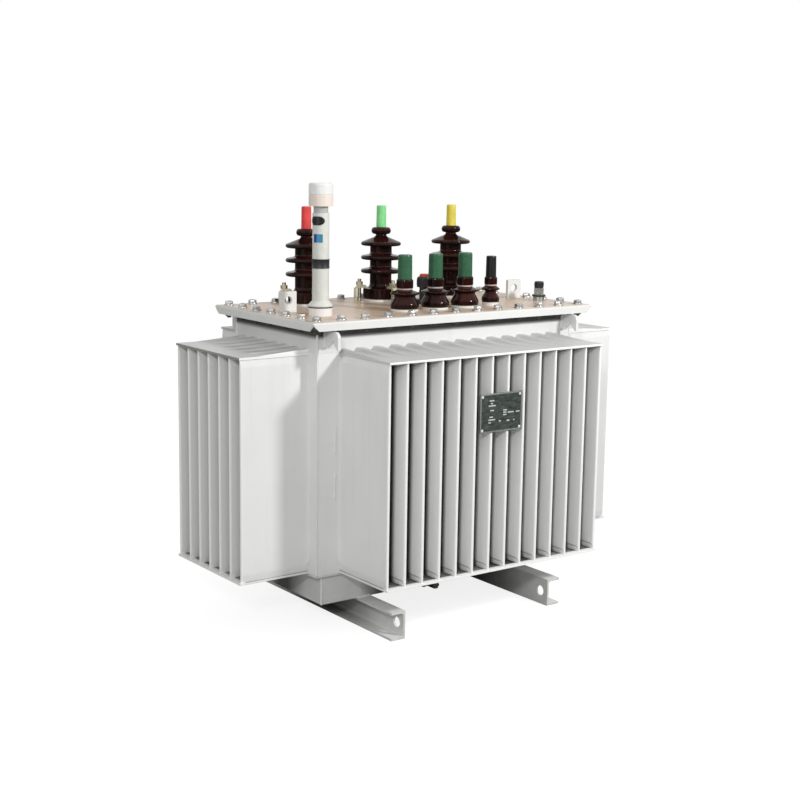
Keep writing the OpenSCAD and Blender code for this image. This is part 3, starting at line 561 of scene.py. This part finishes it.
# %% [markdown]
# ## Porcelain
# The bushings are dipped in a dark brown glaze and fired. Its brown is mottled between near black and a redder tone,
# and faces that look up are painted redder and lighter and undersides darker, as painted light and shade. Under a
# hard gloss, a low reflection with little blur keeps it dark between glints.

# %% Glaze
GLAZE_DARK, GLAZE_RED = (0.008, 0.003, 0.0027, 1), (0.044, 0.011, 0.008, 1)
glaze, glaze_tree, glaze_shader = new_material("brown_glaze", specular=0.15)
mottled = add_range(glaze_tree, add_noise(glaze_tree, scale=24, detail=4, stretch=(1, 1, 0.5)), low=0.35, high=0.7)
# Faces that look up are painted lighter and redder, undersides darker: painted light and shade.
lit_from_above = add_range(glaze_tree, face_axes(glaze_tree)["Z"], low=-0.3, high=0.5, to_low=0.3)
mottle_and_lit = times(glaze_tree, mottled, lit_from_above)
wire(glaze_tree, add_mix(glaze_tree, mottle_and_lit, GLAZE_DARK, GLAZE_RED), glaze_shader.inputs["Base Color"])
set_roughness(glaze_tree, glaze_shader, add_noise(glaze_tree, scale=60, detail=3), smooth=0.05, rough=0.12)
ripples = add_noise(glaze_tree, scale=70, detail=1)
add_bump(glaze_tree, glaze_shader, ripples, distance=0.0006, strength=0.5, edge=0.001)
print("glaze:", glaze.name)

# %% [markdown]
# ## Sleeves
# Shrunk rubber sleeves cover the terminals, one colour for each phase. Rubber that has shrunk is satin, with faint
# lengthwise creases, so one function takes the colour and stretches noise along the sleeve.

# %% Sleeve rubber
FADED_SHARE, FADED_LIFT = 0.82, 0.003


def make_sleeve(name, colour, satin=0.32):
    """Satin rubber with lengthwise creases and a slightly faded, uneven colour."""
    material, tree, shader = new_material(name, specular=0.3)
    faded = opaque(channel*FADED_SHARE + FADED_LIFT for channel in colour)
    patchy = add_range(tree, add_noise(tree, scale=45, detail=3), low=0.35, high=0.65)
    wire(tree, add_mix(tree, patchy, faded, opaque(colour)), shader.inputs["Base Color"])
    set_roughness(tree, shader, add_noise(tree, scale=120), smooth=satin - 0.06, rough=satin + 0.1)
    creases = add_noise(tree, scale=150, stretch=(1, 1, 0.12))
    add_bump(tree, shader, creases, distance=0.0008, strength=0.5)
    return material


sleeve_finishes = {
    "red_sleeve": make_sleeve("red_rubber", (0.86, 0.080, 0.072)),
    "light_green_sleeve": make_sleeve("light_green_rubber", (0.29, 0.86, 0.34)),
    "yellow_sleeve": make_sleeve("yellow_rubber", (0.88, 0.74, 0.10)),
    "dark_green_sleeve": make_sleeve("dark_green_rubber", (0.036, 0.132, 0.064), satin=0.26),
    "black_sleeve": make_sleeve("black_rubber_sleeve", (0.006, 0.0065, 0.0065)),
}
print("sleeves:", sorted(sleeve_finishes))

# %% [markdown]
# ## Metals, plastics and rubber
# Bolts and clamps are zinc plated, the gauge is a white moulding, knobs are black or orange, and the rating plate
# is dark anodised metal with a mottled grain. Each is one Principled shader with its own grain.

# %% Moulded plastic
RUBBED_SHARE, RUBBED_LIFT = 1.12, 0.006
BAND_FADE = 0.0004


def make_plastic(name, colour, gloss, grain=300, bands=()):
    """Moulded plastic with a fine grain and handling marks; a band is another colour and the level it ends at."""
    material, tree, shader = new_material(name)
    rubbed = opaque(min(1, channel*RUBBED_SHARE + RUBBED_LIFT) for channel in colour)
    marks = add_range(tree, add_noise(tree, scale=40, detail=5, rough=0.65), low=0.4, high=0.75)
    shade = add_mix(tree, marks, opaque(colour), rubbed)
    for tint, level in bands:
        upper = add_range(tree, place_axes(tree)["Z"], low=level - BAND_FADE, high=level + BAND_FADE)
        shade = add_mix(tree, upper, opaque(tint), shade)
    wire(tree, shade, shader.inputs["Base Color"])
    set_roughness(tree, shader, add_noise(tree, scale=90, detail=3), smooth=gloss - 0.06, rough=gloss + 0.08)
    add_bump(tree, shader, add_noise(tree, grain), distance=0.0002, strength=0.6, edge=0.0008)
    return material


GAUGE_NECK = 0.016
gauge_cap_low, gauge_cap_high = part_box("gauge_cap")
neck_top = gauge_cap_low.z + GAUGE_NECK
cap_seam = (neck_top + gauge_cap_high.z)/2
white_plastic = make_plastic("white_moulding", (0.71, 0.72, 0.665), gloss=0.32)
# Below neck_top the cap is painted mid grey: painted shade under the cap's rim.
cap_plastic = make_plastic(
    "two_tone_cap", (0.88, 0.89, 0.87), gloss=0.32,
    bands=[((0.90, 0.79, 0.70), cap_seam), ((0.50, 0.51, 0.50), neck_top)])
black_plastic = make_plastic("black_moulding", (0.010, 0.010, 0.011), gloss=0.4)
orange_plastic = make_plastic("orange_moulding", (0.62, 0.085, 0.035), gloss=0.4)
gauge_glass = make_plastic("dark_gauge_glass", (0.006, 0.006, 0.007), gloss=0.12)
black_rubber = make_plastic("black_gasket_rubber", (0.012, 0.012, 0.012), gloss=0.6, grain=500)
pale_washer = make_plastic("pale_washer", (0.50, 0.40, 0.37), gloss=0.5)
plate_mark = make_plastic("pale_plate_mark", (0.52, 0.56, 0.52), gloss=0.5)
print("plastics:", white_plastic.name, black_plastic.name, orange_plastic.name)

# %% Printed label: three blues side by side
LABEL_FACING = -52
LABEL_BLUES = ((0.012, 0.05, 0.20, 1), (0.05, 0.28, 0.62, 1), (0.03, 0.23, 0.34, 1))
LABEL_STEPS = ((-0.0042, -0.0030), (0.0028, 0.0040))


def axis_of(node):
    """The upright axis of a round node."""
    low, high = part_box(node)
    return (low.x + high.x)/2, (low.y + high.y)/2


tube_axis = axis_of("gauge_tube")
label_turn = math.radians(LABEL_FACING)
blue_label, label_tree, label_shader = new_material("blue_label")
label_axes = place_axes(label_tree)
parts_along = [
    times(label_tree, minus(label_tree, label_axes[axis], middle), share)
    for axis, middle, share in zip("XY", tube_axis, (math.cos(label_turn), math.sin(label_turn)))]
along = add_math(label_tree, "ADD", *parts_along)
print_colour = LABEL_BLUES[0]
for step, blue in zip(LABEL_STEPS, LABEL_BLUES[1:]):
    print_colour = add_mix(label_tree, add_range(label_tree, along, *step), print_colour, blue)
wire(label_tree, print_colour, label_shader.inputs["Base Color"])
set_roughness(label_tree, label_shader, add_noise(label_tree, scale=200), smooth=0.38, rough=0.5)
print("label:", blue_label.name)

# %% Plated and bare metal


def make_metal(name, colour, stain, rough, stretch=(1, 1, 1), metallic=1.0, specular=0.5):
    """Metal with a stained, uneven sheen."""
    material, tree, shader = new_material(name, specular)
    clouds = add_noise(tree, scale=160, detail=4, stretch=stretch, rough=0.6)
    cloudy = add_range(tree, clouds, low=0.35, high=0.7)
    wire(tree, add_mix(tree, cloudy, opaque(colour), opaque(stain)), shader.inputs["Base Color"])
    shader.inputs["Metallic"].default_value = metallic
    sheen = add_noise(tree, scale=220, detail=3, stretch=stretch)
    set_roughness(tree, shader, sheen, smooth=rough - 0.08, rough=rough + 0.12)
    grain = add_noise(tree, scale=420, stretch=stretch)
    add_bump(tree, shader, grain, distance=0.0003, strength=0.4, edge=0.0006)
    return material


zinc = make_metal("zinc_plate", (0.52, 0.53, 0.52), (0.30, 0.30, 0.285), rough=0.28)
yellow_zinc = make_metal("yellow_zinc_plate", (0.64, 0.60, 0.44), (0.40, 0.37, 0.27), rough=0.34)
plate_metal = make_metal(
    "dark_plate_metal", (0.024, 0.031, 0.026), (0.088, 0.103, 0.088), rough=0.45, stretch=(0.35, 1, 1),
    metallic=0.15, specular=0.25)
plate_edge_metal = make_metal("worn_plate_edge", (0.30, 0.33, 0.30), (0.20, 0.22, 0.20), rough=0.4, metallic=0.6)
dark_steel_finish = make_metal("dark_steel_finish", (0.10, 0.10, 0.10), (0.05, 0.048, 0.045), rough=0.42, metallic=0.8)
print("metals:", zinc.name, plate_metal.name, dark_steel_finish.name)

# %% Put the finishes on the solids
finish_of_slot = {
    "grey_paint": grey_enamel, "brown_porcelain": glaze, "zinc_steel": zinc, "white_plastic": white_plastic,
    "black_plastic": black_plastic, "orange_plastic": orange_plastic, "nameplate_metal": plate_metal,
    "dark_steel": dark_steel_finish, "black_rubber": black_rubber, **sleeve_finishes}
finish_of_node = {
    "lid": lid_enamel, "bushing_seats": lid_enamel, "upper_band": band_enamel, "tank_flange": flange_enamel,
    "front_wall": side_fin_enamel, "back_wall": side_fin_enamel, "left_wall": end_fin_enamel,
    "right_wall": end_fin_enamel, "top_covers": cover_enamel, "bottom_plates": plate_enamel,
    "gauge_cap": cap_plastic, "tank_base": base_enamel, "left_rail": rail_enamel, "right_rail": rail_enamel,
    "hv_clamps": yellow_zinc}
for part in frame["record"]["subparts"]:
    finish = finish_of_node.get(part["node"], finish_of_slot[part["material_slot"]])
    for holder in nodes[part["node"]].material_slots:
        holder.material = finish

# %% [markdown]
# ## Tools for the hand work
# New pieces start from a primitive and are shaped in edit mode. An operator acts on all that is selected, so these
# helpers clear the selection, open one piece, and pick its faces or edges by where they are.

# %% Edit mode helpers
TOLERANCE = 1e-5


def activate(piece):
    """Selects one object and nothing else."""
    bpy.ops.object.select_all(action="DESELECT")
    piece.select_set(True)
    bpy.context.view_layer.objects.active = piece


def open_edit(piece, kind):
    """Edit mode on one piece, with nothing selected; kind is FACE or EDGE."""
    activate(piece)
    bpy.ops.object.mode_set(mode="EDIT")
    bpy.ops.mesh.select_mode(type=kind)
    bpy.ops.mesh.select_all(action="DESELECT")


def close_edit():
    """Back to object mode."""
    bpy.ops.object.mode_set(mode="OBJECT")


def pick_faces(piece, test):
    """Selects the faces whose middle and normal pass the test."""
    shape = bmesh.from_edit_mesh(piece.data)
    for face in shape.faces:
        if test(face.calc_center_median(), face.normal):
            face.select_set(True)
    bmesh.update_edit_mesh(piece.data)


def pick_edges(piece, test):
    """Selects the edges whose two ends pass the test."""
    shape = bmesh.from_edit_mesh(piece.data)
    for edge in shape.edges:
        if test(edge.verts[0].co, edge.verts[1].co):
            edge.select_set(True)
    bmesh.update_edit_mesh(piece.data)


def settle(piece):
    """Puts a piece's place, turn and size into its mesh."""
    activate(piece)
    bpy.ops.object.transform_apply(location=True, rotation=True, scale=True)
    return piece


def add_cylinder(radius, low, high, sides, axis=(0, 0)):
    """An upright cylinder from one level to another, its place in its mesh."""
    bpy.ops.object.select_all(action="DESELECT")
    bpy.ops.mesh.primitive_cylinder_add(
        vertices=sides, radius=radius, depth=high - low, location=(*axis, (low + high)/2))
    return settle(bpy.context.object)


def add_block(low, high):
    """A box between two corners, its place in its mesh."""
    low, high = Vector(low), Vector(high)
    bpy.ops.object.select_all(action="DESELECT")
    bpy.ops.mesh.primitive_cube_add(size=1, location=(low + high)/2)
    bpy.context.object.scale = high - low
    return settle(bpy.context.object)


def bevel_edges(piece, test, width, segments=2):
    """Bevels the edges that pass the test."""
    open_edit(piece, "EDGE")
    pick_edges(piece, test)
    bpy.ops.mesh.bevel(offset=width, segments=segments, affect="EDGES")
    close_edit()


def bevel_top(piece, top, width, segments=2):
    """Bevels the upper rim of a piece."""
    bevel_edges(piece, lambda a, b: min(a.z, b.z) > top - TOLERANCE, width, segments)


print("edit helpers ready")

# %% Helpers for whole pieces


def copy_to(piece, place, turn=0.0):
    """A copy with its own mesh, moved and turned about the upright."""
    twin = piece.copy()
    twin.data = piece.data.copy()
    bpy.context.scene.collection.objects.link(twin)
    twin.matrix_world = Matrix.Translation(place) @ Matrix.Rotation(turn, 4, "Z") @ piece.matrix_world
    return twin


def join(pieces, name):
    """One object from several."""
    activate(pieces[0])
    for piece in pieces:
        piece.select_set(True)
    if len(pieces) > 1:
        bpy.ops.object.join()
    pieces[0].name = name
    pieces[0].data.name = name
    return pieces[0]


def apply_modifier(piece, kind, **settings):
    """Adds a modifier, sets it and applies it."""
    activate(piece)
    made = piece.modifiers.new(kind.lower(), kind)
    for setting, value in settings.items():
        setattr(made, setting, value)
    bpy.ops.object.modifier_apply(modifier=made.name)


def hand_over(pieces, name, finish, crease=35):
    """Joins pieces under a name, shades them, gives them their finish and lets them ride on the tank."""
    piece = settle(join(pieces, name))
    bpy.ops.object.shade_smooth_by_angle(angle=math.radians(crease))
    piece.data.materials.clear()
    piece.data.materials.append(finish)
    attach(piece, "root")
    print(piece.name, len(piece.data.polygons), "faces")


print("piece helpers ready")

# %% [markdown]
# ## Lid bolts
# The lid is held by bolts all round, one hex head on a washer each, with a nut under the tank flange. One set is
# modelled at the origin and copied to its places, which divide the lid's sides evenly.

# %% One bolt, modelled at the origin
HEX_ACROSS = 0.018
HEX_CHAMFER = 0.08
HEAD_HEIGHT = 0.008
NUT_HEIGHT = HEX_ACROSS*0.4
THREAD_RADIUS, THREAD_END = HEX_ACROSS*0.31, HEX_ACROSS*0.75
WASHER_RADIUS = 0.0125
WASHER_HEIGHT = 0.0026


def make_hex(low, high):
    """A hexagon with its upper rim chamfered."""
    hexagon = add_cylinder(HEX_ACROSS/math.sqrt(3), low, high, sides=6)
    bevel_top(hexagon, high, HEX_ACROSS*HEX_CHAMFER)
    return hexagon


def make_washer():
    """A round washer with its upper rim eased."""
    washer = add_cylinder(WASHER_RADIUS, 0, WASHER_HEIGHT, sides=24)
    bevel_top(washer, WASHER_HEIGHT, width=WASHER_HEIGHT*0.35)
    return washer


def make_lid_bolt():
    """Washer and hex head, its top dished."""
    washer = make_washer()
    head = make_hex(WASHER_HEIGHT, WASHER_HEIGHT + HEAD_HEIGHT)
    open_edit(head, "FACE")
    pick_faces(head, lambda middle, normal: normal.z > 0.99)
    bpy.ops.mesh.inset(thickness=HEX_ACROSS*0.1)
    bpy.ops.mesh.inset(thickness=HEX_ACROSS*0.06, depth=HEAD_HEIGHT*0.12)
    close_edit()
    return join([washer, head], "lid_bolt")


def make_flange_nut():
    """The nut, washer and thread end, hanging down from the flange."""
    washer = make_washer()
    nut = make_hex(WASHER_HEIGHT, WASHER_HEIGHT + NUT_HEIGHT)
    thread = add_cylinder(THREAD_RADIUS, WASHER_HEIGHT, THREAD_END, sides=16)
    bevel_top(thread, THREAD_END, HEX_ACROSS*HEX_CHAMFER)
    hung = join([washer, nut, thread], "flange_nut")
    hung.matrix_world = Matrix.Rotation(math.pi, 4, "X")
    return hung


print("bolt head", HEX_ACROSS, "m across")

# %% Copies round the lid
BOLT_INSET = 0.026
BOLT_TURN = 0.7
LONG_STEPS, SHORT_STEPS = 12, 6
flange_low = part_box("tank_flange")[0]
reach_x, reach_y = lid_high.x - BOLT_INSET, lid_high.y - BOLT_INSET
bolt_places = []
for step in range(LONG_STEPS + 1):
    x = -reach_x + 2*reach_x*step/LONG_STEPS
    bolt_places += [(x, -reach_y), (x, reach_y)]
for step in range(1, SHORT_STEPS):
    y = -reach_y + 2*reach_y*step/SHORT_STEPS
    bolt_places += [(-reach_x, y), (reach_x, y)]


def spread(piece, level):
    """Copies of one piece at every bolt place, each turned a little on its own."""
    copies = [
        copy_to(piece, (*place, level), turn=BOLT_TURN*number) for number, place in enumerate(bolt_places)]
    bpy.data.objects.remove(piece)
    return copies


hand_over(spread(make_lid_bolt(), lid_high.z), "lid_bolts", zinc)
# The nuts under the flange take dark steel, not zinc, to stay dark in the painted shade under the lid.
hand_over(spread(make_flange_nut(), flange_low.z), "flange_nuts", dark_steel_finish)
print("bolts", len(bolt_places))

# %% [markdown]
# ## Weld beads
# The tank is welded along its corners, at the hooks, the lid lugs, the rails and in short stitches on the plain
# strips beside the fins. A bead is a rod of metal with lumps: a thin cylinder, cut into short lengths, displaced by
# noise, does it with few faces.

# %% Bead maker
BEAD = 0.003
LUMP_STEP = 0.007
weld_lumps = bpy.data.textures.new("weld_lumps", "CLOUDS")
weld_lumps.noise_scale = 0.005


def lay_bead(start, end, radius=BEAD):
    """A lumpy rod from one point to another."""
    start, end = Vector(start), Vector(end)
    run = end - start
    bpy.ops.object.select_all(action="DESELECT")
    bpy.ops.mesh.primitive_cylinder_add(vertices=8, radius=radius, depth=run.length)
    bead = bpy.context.object
    half = run.length/2
    open_edit(bead, "EDGE")
    pick_edges(bead, lambda a, b: abs(a.z - b.z) > half)
    bpy.ops.mesh.subdivide(number_cuts=max(4, round(run.length/LUMP_STEP)))
    close_edit()
    bevel_edges(bead, lambda a, b: min(abs(a.z), abs(b.z)) > half - 1e-6, width=radius*0.6)
    bead.matrix_world = Matrix.Translation((start + end)/2) @ run.to_track_quat("Z", "Y").to_matrix().to_4x4()
    settle(bead)
    apply_modifier(bead, "DISPLACE", texture=weld_lumps, texture_coords="LOCAL", strength=radius*0.9, mid_level=0.5)
    return bead


def hand_over_beads(beads, name, finish=grey_enamel):
    """Beads are painted with what they join."""
    hand_over(beads, name, finish, crease=60)


print("beads", BEAD, "m in radius")

# %% Beads on the tank
BASE_INSET_X, BASE_INSET_Y = 0.023, 0.013
base_low, base_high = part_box("tank_base")
base_x, base_y = base_high.x - BASE_INSET_X, base_high.y - BASE_INSET_Y
rail_low, rail_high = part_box("right_rail")
tank_x, tank_y = band_high.xy
SIDES = [(sx, sy) for sx in (-1, 1) for sy in (-1, 1)]

corner_beads = []
for sx, sy in SIDES:
    corner, foot = (sx*tank_x, sy*tank_y), (sx*base_x, sy*base_y)
    corner_beads.append(lay_bead((*corner, base_high.z), (*corner, band_high.z)))
    corner_beads.append(lay_bead((*foot, base_low.z), (*foot, base_high.z), BEAD*0.9))
hand_over_beads(corner_beads, "corner_welds")

# %% Stitches beside the fins, and the beads of rails, hooks and lugs
STITCH_X = 0.344
STITCH_LEVELS = ((0.330, 0.393), (0.442, 0.509))
hand_over_beads([
    lay_bead((sx*STITCH_X, sy*tank_y, low), (sx*STITCH_X, sy*tank_y, high), BEAD*1.1)
    for sx, sy in SIDES for low, high in STITCH_LEVELS], "stitch_welds")
hand_over_beads([
    lay_bead((sx*rail_low.x, sy*base_y, rail_high.z), (sx*rail_high.x, sy*base_y, rail_high.z), BEAD*1.3)
    for sx, sy in SIDES], "rail_welds")

hook_beads = []
for hook in ("front_left_hook", "front_right_hook", "back_left_hook", "back_right_hook"):
    hook_low, hook_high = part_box(hook)
    hook_y = math.copysign(tank_y, hook_low.y)
    hook_beads += [lay_bead((x, hook_y, hook_low.z), (x, hook_y, hook_high.z)) for x in (hook_low.x, hook_high.x)]
hand_over_beads(hook_beads, "hook_welds")

lug_beads = []
for lug in ("left_lid_lug", "right_lid_lug"):
    lug_low, lug_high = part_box(lug)
    lug_beads += [lay_bead((lug_low.x, y, lug_low.z), (lug_high.x, y, lug_low.z)) for y in (lug_low.y, lug_high.y)]
hand_over_beads(lug_beads, "lug_welds", lid_enamel)

# %% [markdown]
# ## Oil gauge
# The gauge is a white tube with a rounded window near its top, a small coloured label and a black strap lower down.
# They follow the tube's curve, so each starts as a thin ring around it, and a Boolean keeps what lies in front of a
# rounded block.

# %% Wrapped patches
TUBE_RADIUS = 0.020
SUNK = 0.0004
WINDOW_LEVEL, LABEL_LEVEL = lid_high.z + 0.225, lid_high.z + 0.184
WINDOW_FACING = -62
# Name, level, width, height, corner radius, facing, how far it stands proud, finish and slot
GAUGE_PATCHES = (
    ("gauge_window_rim", WINDOW_LEVEL, 0.034, 0.0205, 0.0102, WINDOW_FACING, 0.0010, black_rubber, "black_rubber"),
    ("gauge_window", WINDOW_LEVEL, 0.031, 0.0170, 0.0084, WINDOW_FACING, 0.0014, gauge_glass, "black_plastic"),
    ("gauge_label", LABEL_LEVEL, 0.029, 0.026, 0.002, -50, 0.0003, white_plastic, "white_plastic"),
    ("gauge_label_print", LABEL_LEVEL, 0.022, 0.020, 0.0015, LABEL_FACING, 0.0005, blue_label, "white_plastic"))


def make_ring(axis, inner, outer, low, high, sides=96):
    """A short pipe."""
    ring = add_cylinder(inner, low, high, sides, axis)
    open_edit(ring, "FACE")
    pick_faces(ring, lambda middle, normal: abs(normal.z) > 0.9)
    bpy.ops.mesh.delete(type="FACE")
    close_edit()
    apply_modifier(ring, "SOLIDIFY", thickness=outer - inner, offset=1, use_even_offset=True)
    return ring


def wrap_patch(level, width, height, corner, facing, proud):
    """A patch with rounded corners, bent round the tube; facing is to the right of the front, in degrees."""
    ring = make_ring(tube_axis, TUBE_RADIUS - SUNK, TUBE_RADIUS + proud, level - height, level + height)
    block = add_block((-width/2, -2*TUBE_RADIUS, level - height/2), (width/2, 0, level + height/2))
    bevel_edges(block, lambda a, b: abs(a.y - b.y) > TUBE_RADIUS, corner, segments=8)
    block.matrix_world = Matrix.Translation((*tube_axis, 0)) @ Matrix.Rotation(math.radians(facing), 4, "Z")
    bpy.context.view_layer.update()
    apply_modifier(ring, "BOOLEAN", operation="INTERSECT", object=block, solver="EXACT")
    bpy.data.objects.remove(block)
    return ring


for name, *shape, finish, slot in GAUGE_PATCHES:
    hand_over([wrap_patch(*shape)], name, finish)

# %% Strap
STRAP_LOW, STRAP_HIGH = lid_high.z + 0.113, lid_high.z + 0.135
STRAP_PROUD = 0.0016
strap = make_ring(tube_axis, TUBE_RADIUS - SUNK, TUBE_RADIUS + STRAP_PROUD, STRAP_LOW, STRAP_HIGH, sides=64)
open_edit(strap, "FACE")
pick_faces(strap, lambda middle, normal: abs(normal.z) < 0.1 and
           (Vector(middle.xy) - Vector(tube_axis)).dot(normal.xy) > 0)
bpy.ops.mesh.inset(thickness=0.003, depth=-0.0007)
close_edit()
hand_over([strap], "gauge_strap", black_plastic)

# %% [markdown]
# ## Gaskets and neck rings
# Each bushing stands on a thin gasket that shows as a dark line, as does the gauge on its foot. The low voltage
# bushings have a pale washer in the groove under the collar, and the thermometer pocket a dark ring round its
# flange. All are turned rings, so one maker serves them.

# %% Rings on the bushings
GASKET = 0.0024
GASKET_INSET = 0.001
RING_WALL = 0.004
NEUTRAL = "neutral_bushing"
HV_NODES = ("hv_bushing_a", "hv_bushing_b", "hv_bushing_c")
LV_NODES = ("lv_bushing_a", "lv_bushing_b", "lv_bushing_c", NEUTRAL)
FOOT_RADIUS = {**dict.fromkeys(HV_NODES, 0.046), **dict.fromkeys(LV_NODES, 0.0355), NEUTRAL: 0.023}
NECK_RADIUS = {**dict.fromkeys(LV_NODES, 0.0198), NEUTRAL: 0.0158}
SEAT_TOP = {**dict.fromkeys(HV_NODES + LV_NODES, lid_high.z + 0.0080), NEUTRAL: lid_high.z + 0.0115}


def make_gasket(node, radius, level, height):
    """A ring with its outer rims eased."""
    ring = make_ring(axis_of(node), radius - RING_WALL, radius, level, level + height, sides=64)
    apply_modifier(ring, "BEVEL", width=height*0.25, segments=2, limit_method="ANGLE")
    return ring


gaskets = [make_gasket(node, FOOT_RADIUS[node] - GASKET_INSET, SEAT_TOP[node] - GASKET, GASKET)
           for node in HV_NODES + LV_NODES]
GAUGE_GASKET_PROUD, GAUGE_GASKET_DOWN, GAUGE_GASKET = 0.0006, 0.0028, 0.0027
foot_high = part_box("gauge_foot")[1]
gaskets.append(make_gasket(
    "gauge_foot", foot_high.x - tube_axis[0] + GAUGE_GASKET_PROUD, foot_high.z - GAUGE_GASKET_DOWN, GAUGE_GASKET))
hand_over(gaskets, "bushing_gaskets", black_rubber)

# %% Neck rings and the ring of the pocket
NECK_SHARE, NECK_TALL_SHARE = 0.632, 0.062
neck_rings = []
for node in LV_NODES:
    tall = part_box(node)[1].z - SEAT_TOP[node]
    neck_rings.append(make_gasket(node, NECK_RADIUS[node], SEAT_TOP[node] + NECK_SHARE*tall, NECK_TALL_SHARE*tall))
hand_over(neck_rings, "neck_rings", pale_washer)

POCKET_RING_LOW, POCKET_RING_HIGH = lid_high.z + 0.0115, lid_high.z + 0.0168
pocket_ring = make_gasket(
    "thermometer_pocket", radius=0.0179, level=POCKET_RING_LOW, height=POCKET_RING_HIGH - POCKET_RING_LOW)
hand_over([pocket_ring], "pocket_ring", black_rubber)

# %% [markdown]
# ## Grips
# The tap changer's cap and the cap of the thermometer pocket are turned by hand, so their sides are ribbed. A
# cylinder with many sides gets every second face inset outwards, and each becomes a tapered rib.

# %% Ribbed grips
GRIP_WALL = 0.0015
TURN_SLACK = 1e-3


def make_grip(node, radius, low, high, ribs, depth):
    """A ribbed ring round a knob."""
    axis = axis_of(node)
    grip = make_ring(axis, radius - GRIP_WALL, radius, low, high, sides=2*ribs)
    step = math.pi/ribs

    def is_rib(middle, normal):
        """True for every second outer side face."""
        arm = Vector((middle.x - axis[0], middle.y - axis[1]))
        turn = math.atan2(arm.y, arm.x)
        return abs(normal.z) < 0.1 and arm.dot(normal.xy) > 0 and math.floor(turn/step + TURN_SLACK) % 2 == 0

    open_edit(grip, "FACE")
    pick_faces(grip, is_rib)
    bpy.ops.mesh.inset(thickness=radius*0.02, depth=depth, use_individual=True)
    close_edit()
    return grip


tap_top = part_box("tap_changer")[1].z
tap_grip = make_grip("tap_changer", radius=0.0196, low=tap_top - 0.023, high=tap_top - 0.007, ribs=24, depth=0.0007)
hand_over([tap_grip], "tap_changer_grip", black_plastic)
cap_low, cap_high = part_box("pocket_cap")
cap_grip = make_grip("pocket_cap", radius=(cap_high.x - cap_low.x)/2, low=cap_low.z + 0.004, high=cap_high.z - 0.004,
                     ribs=18, depth=0.0008)
hand_over([cap_grip], "pocket_cap_grip", black_plastic)

# %% [markdown]
# ## Rating plate
# The plate stands bare of words: a raised rim, rivets in its corners, and pale bars where its fields would be. A bar
# is a thin block with eased edges, and a table of places and lengths lays them out.

# %% Plate rim
PLATE_RIM = 0.0035
plate_low, plate_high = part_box("nameplate")
plate_face = plate_low.y
plate_middle = (plate_low + plate_high)/2
plate_wide, plate_tall = plate_high.x - plate_low.x, plate_high.z - plate_low.z
bpy.ops.object.select_all(action="DESELECT")
bpy.ops.mesh.primitive_grid_add(
    x_subdivisions=1, y_subdivisions=1, size=1, location=(plate_middle.x, plate_face, plate_middle.z),
    rotation=(math.pi/2, 0, 0))
rim = bpy.context.object
rim.scale = (plate_wide, plate_tall, 1)
settle(rim)
open_edit(rim, "FACE")
bpy.ops.mesh.select_all(action="SELECT")
bpy.ops.mesh.inset(thickness=PLATE_RIM)
bpy.ops.mesh.delete(type="FACE")
close_edit()
apply_modifier(rim, "SOLIDIFY", thickness=0.0010, offset=1)
apply_modifier(rim, "BEVEL", width=0.0003, segments=2, limit_method="ANGLE")
hand_over([rim], "plate_rim", plate_edge_metal)

# %% Bars
# Left end, height and length of each bar, as shares of the plate
FIELD_BARS = (
    (0.22, 0.80, 0.11), (0.25, 0.73, 0.05), (0.20, 0.67, 0.17), (0.24, 0.55, 0.09), (0.22, 0.38, 0.09),
    (0.20, 0.31, 0.16), (0.20, 0.24, 0.06), (0.55, 0.53, 0.09), (0.55, 0.47, 0.08), (0.55, 0.41, 0.08),
    (0.66, 0.46, 0.15), (0.86, 0.46, 0.09), (0.45, 0.26, 0.05), (0.64, 0.25, 0.07), (0.80, 0.25, 0.03))
BAR_HEIGHT = 0.0030
BAR_PROUD = 0.0004
bars = []
for left, level, length in FIELD_BARS:
    low_corner = Vector((plate_low.x + left*plate_wide, plate_face - BAR_PROUD, plate_low.z + level*plate_tall))
    bar = add_block(low_corner, low_corner + Vector((length*plate_wide, 2*BAR_PROUD, BAR_HEIGHT)))
    bevel_edges(bar, lambda a, b: abs(a.y - b.y) > BAR_PROUD, width=BAR_HEIGHT*0.3)
    bars.append(bar)
hand_over(bars, "plate_bars", plate_mark)

# %% Rivets
RIVET_RADIUS, RIVET_HEIGHT = 0.0034, 0.0016
RIVET_INSET = 0.0068
rivets = []
for sx, sz in SIDES:
    rivet = add_cylinder(RIVET_RADIUS, 0, RIVET_HEIGHT, sides=16)
    bevel_top(rivet, RIVET_HEIGHT, width=0.0011, segments=3)
    rivet.matrix_world = Matrix.Translation((
        plate_middle.x + sx*(plate_wide/2 - RIVET_INSET), plate_face,
        plate_middle.z + sz*(plate_tall/2 - RIVET_INSET))) @ Matrix.Rotation(math.pi/2, 4, "X")
    rivets.append(rivet)
hand_over(rivets, "plate_rivets", white_plastic)

# %% [markdown]
# ## Finish
# The last step brings the view layer up to date. Nothing that was added may make the object bigger than its
# frame.

# %% Finish
bpy.context.view_layer.update()
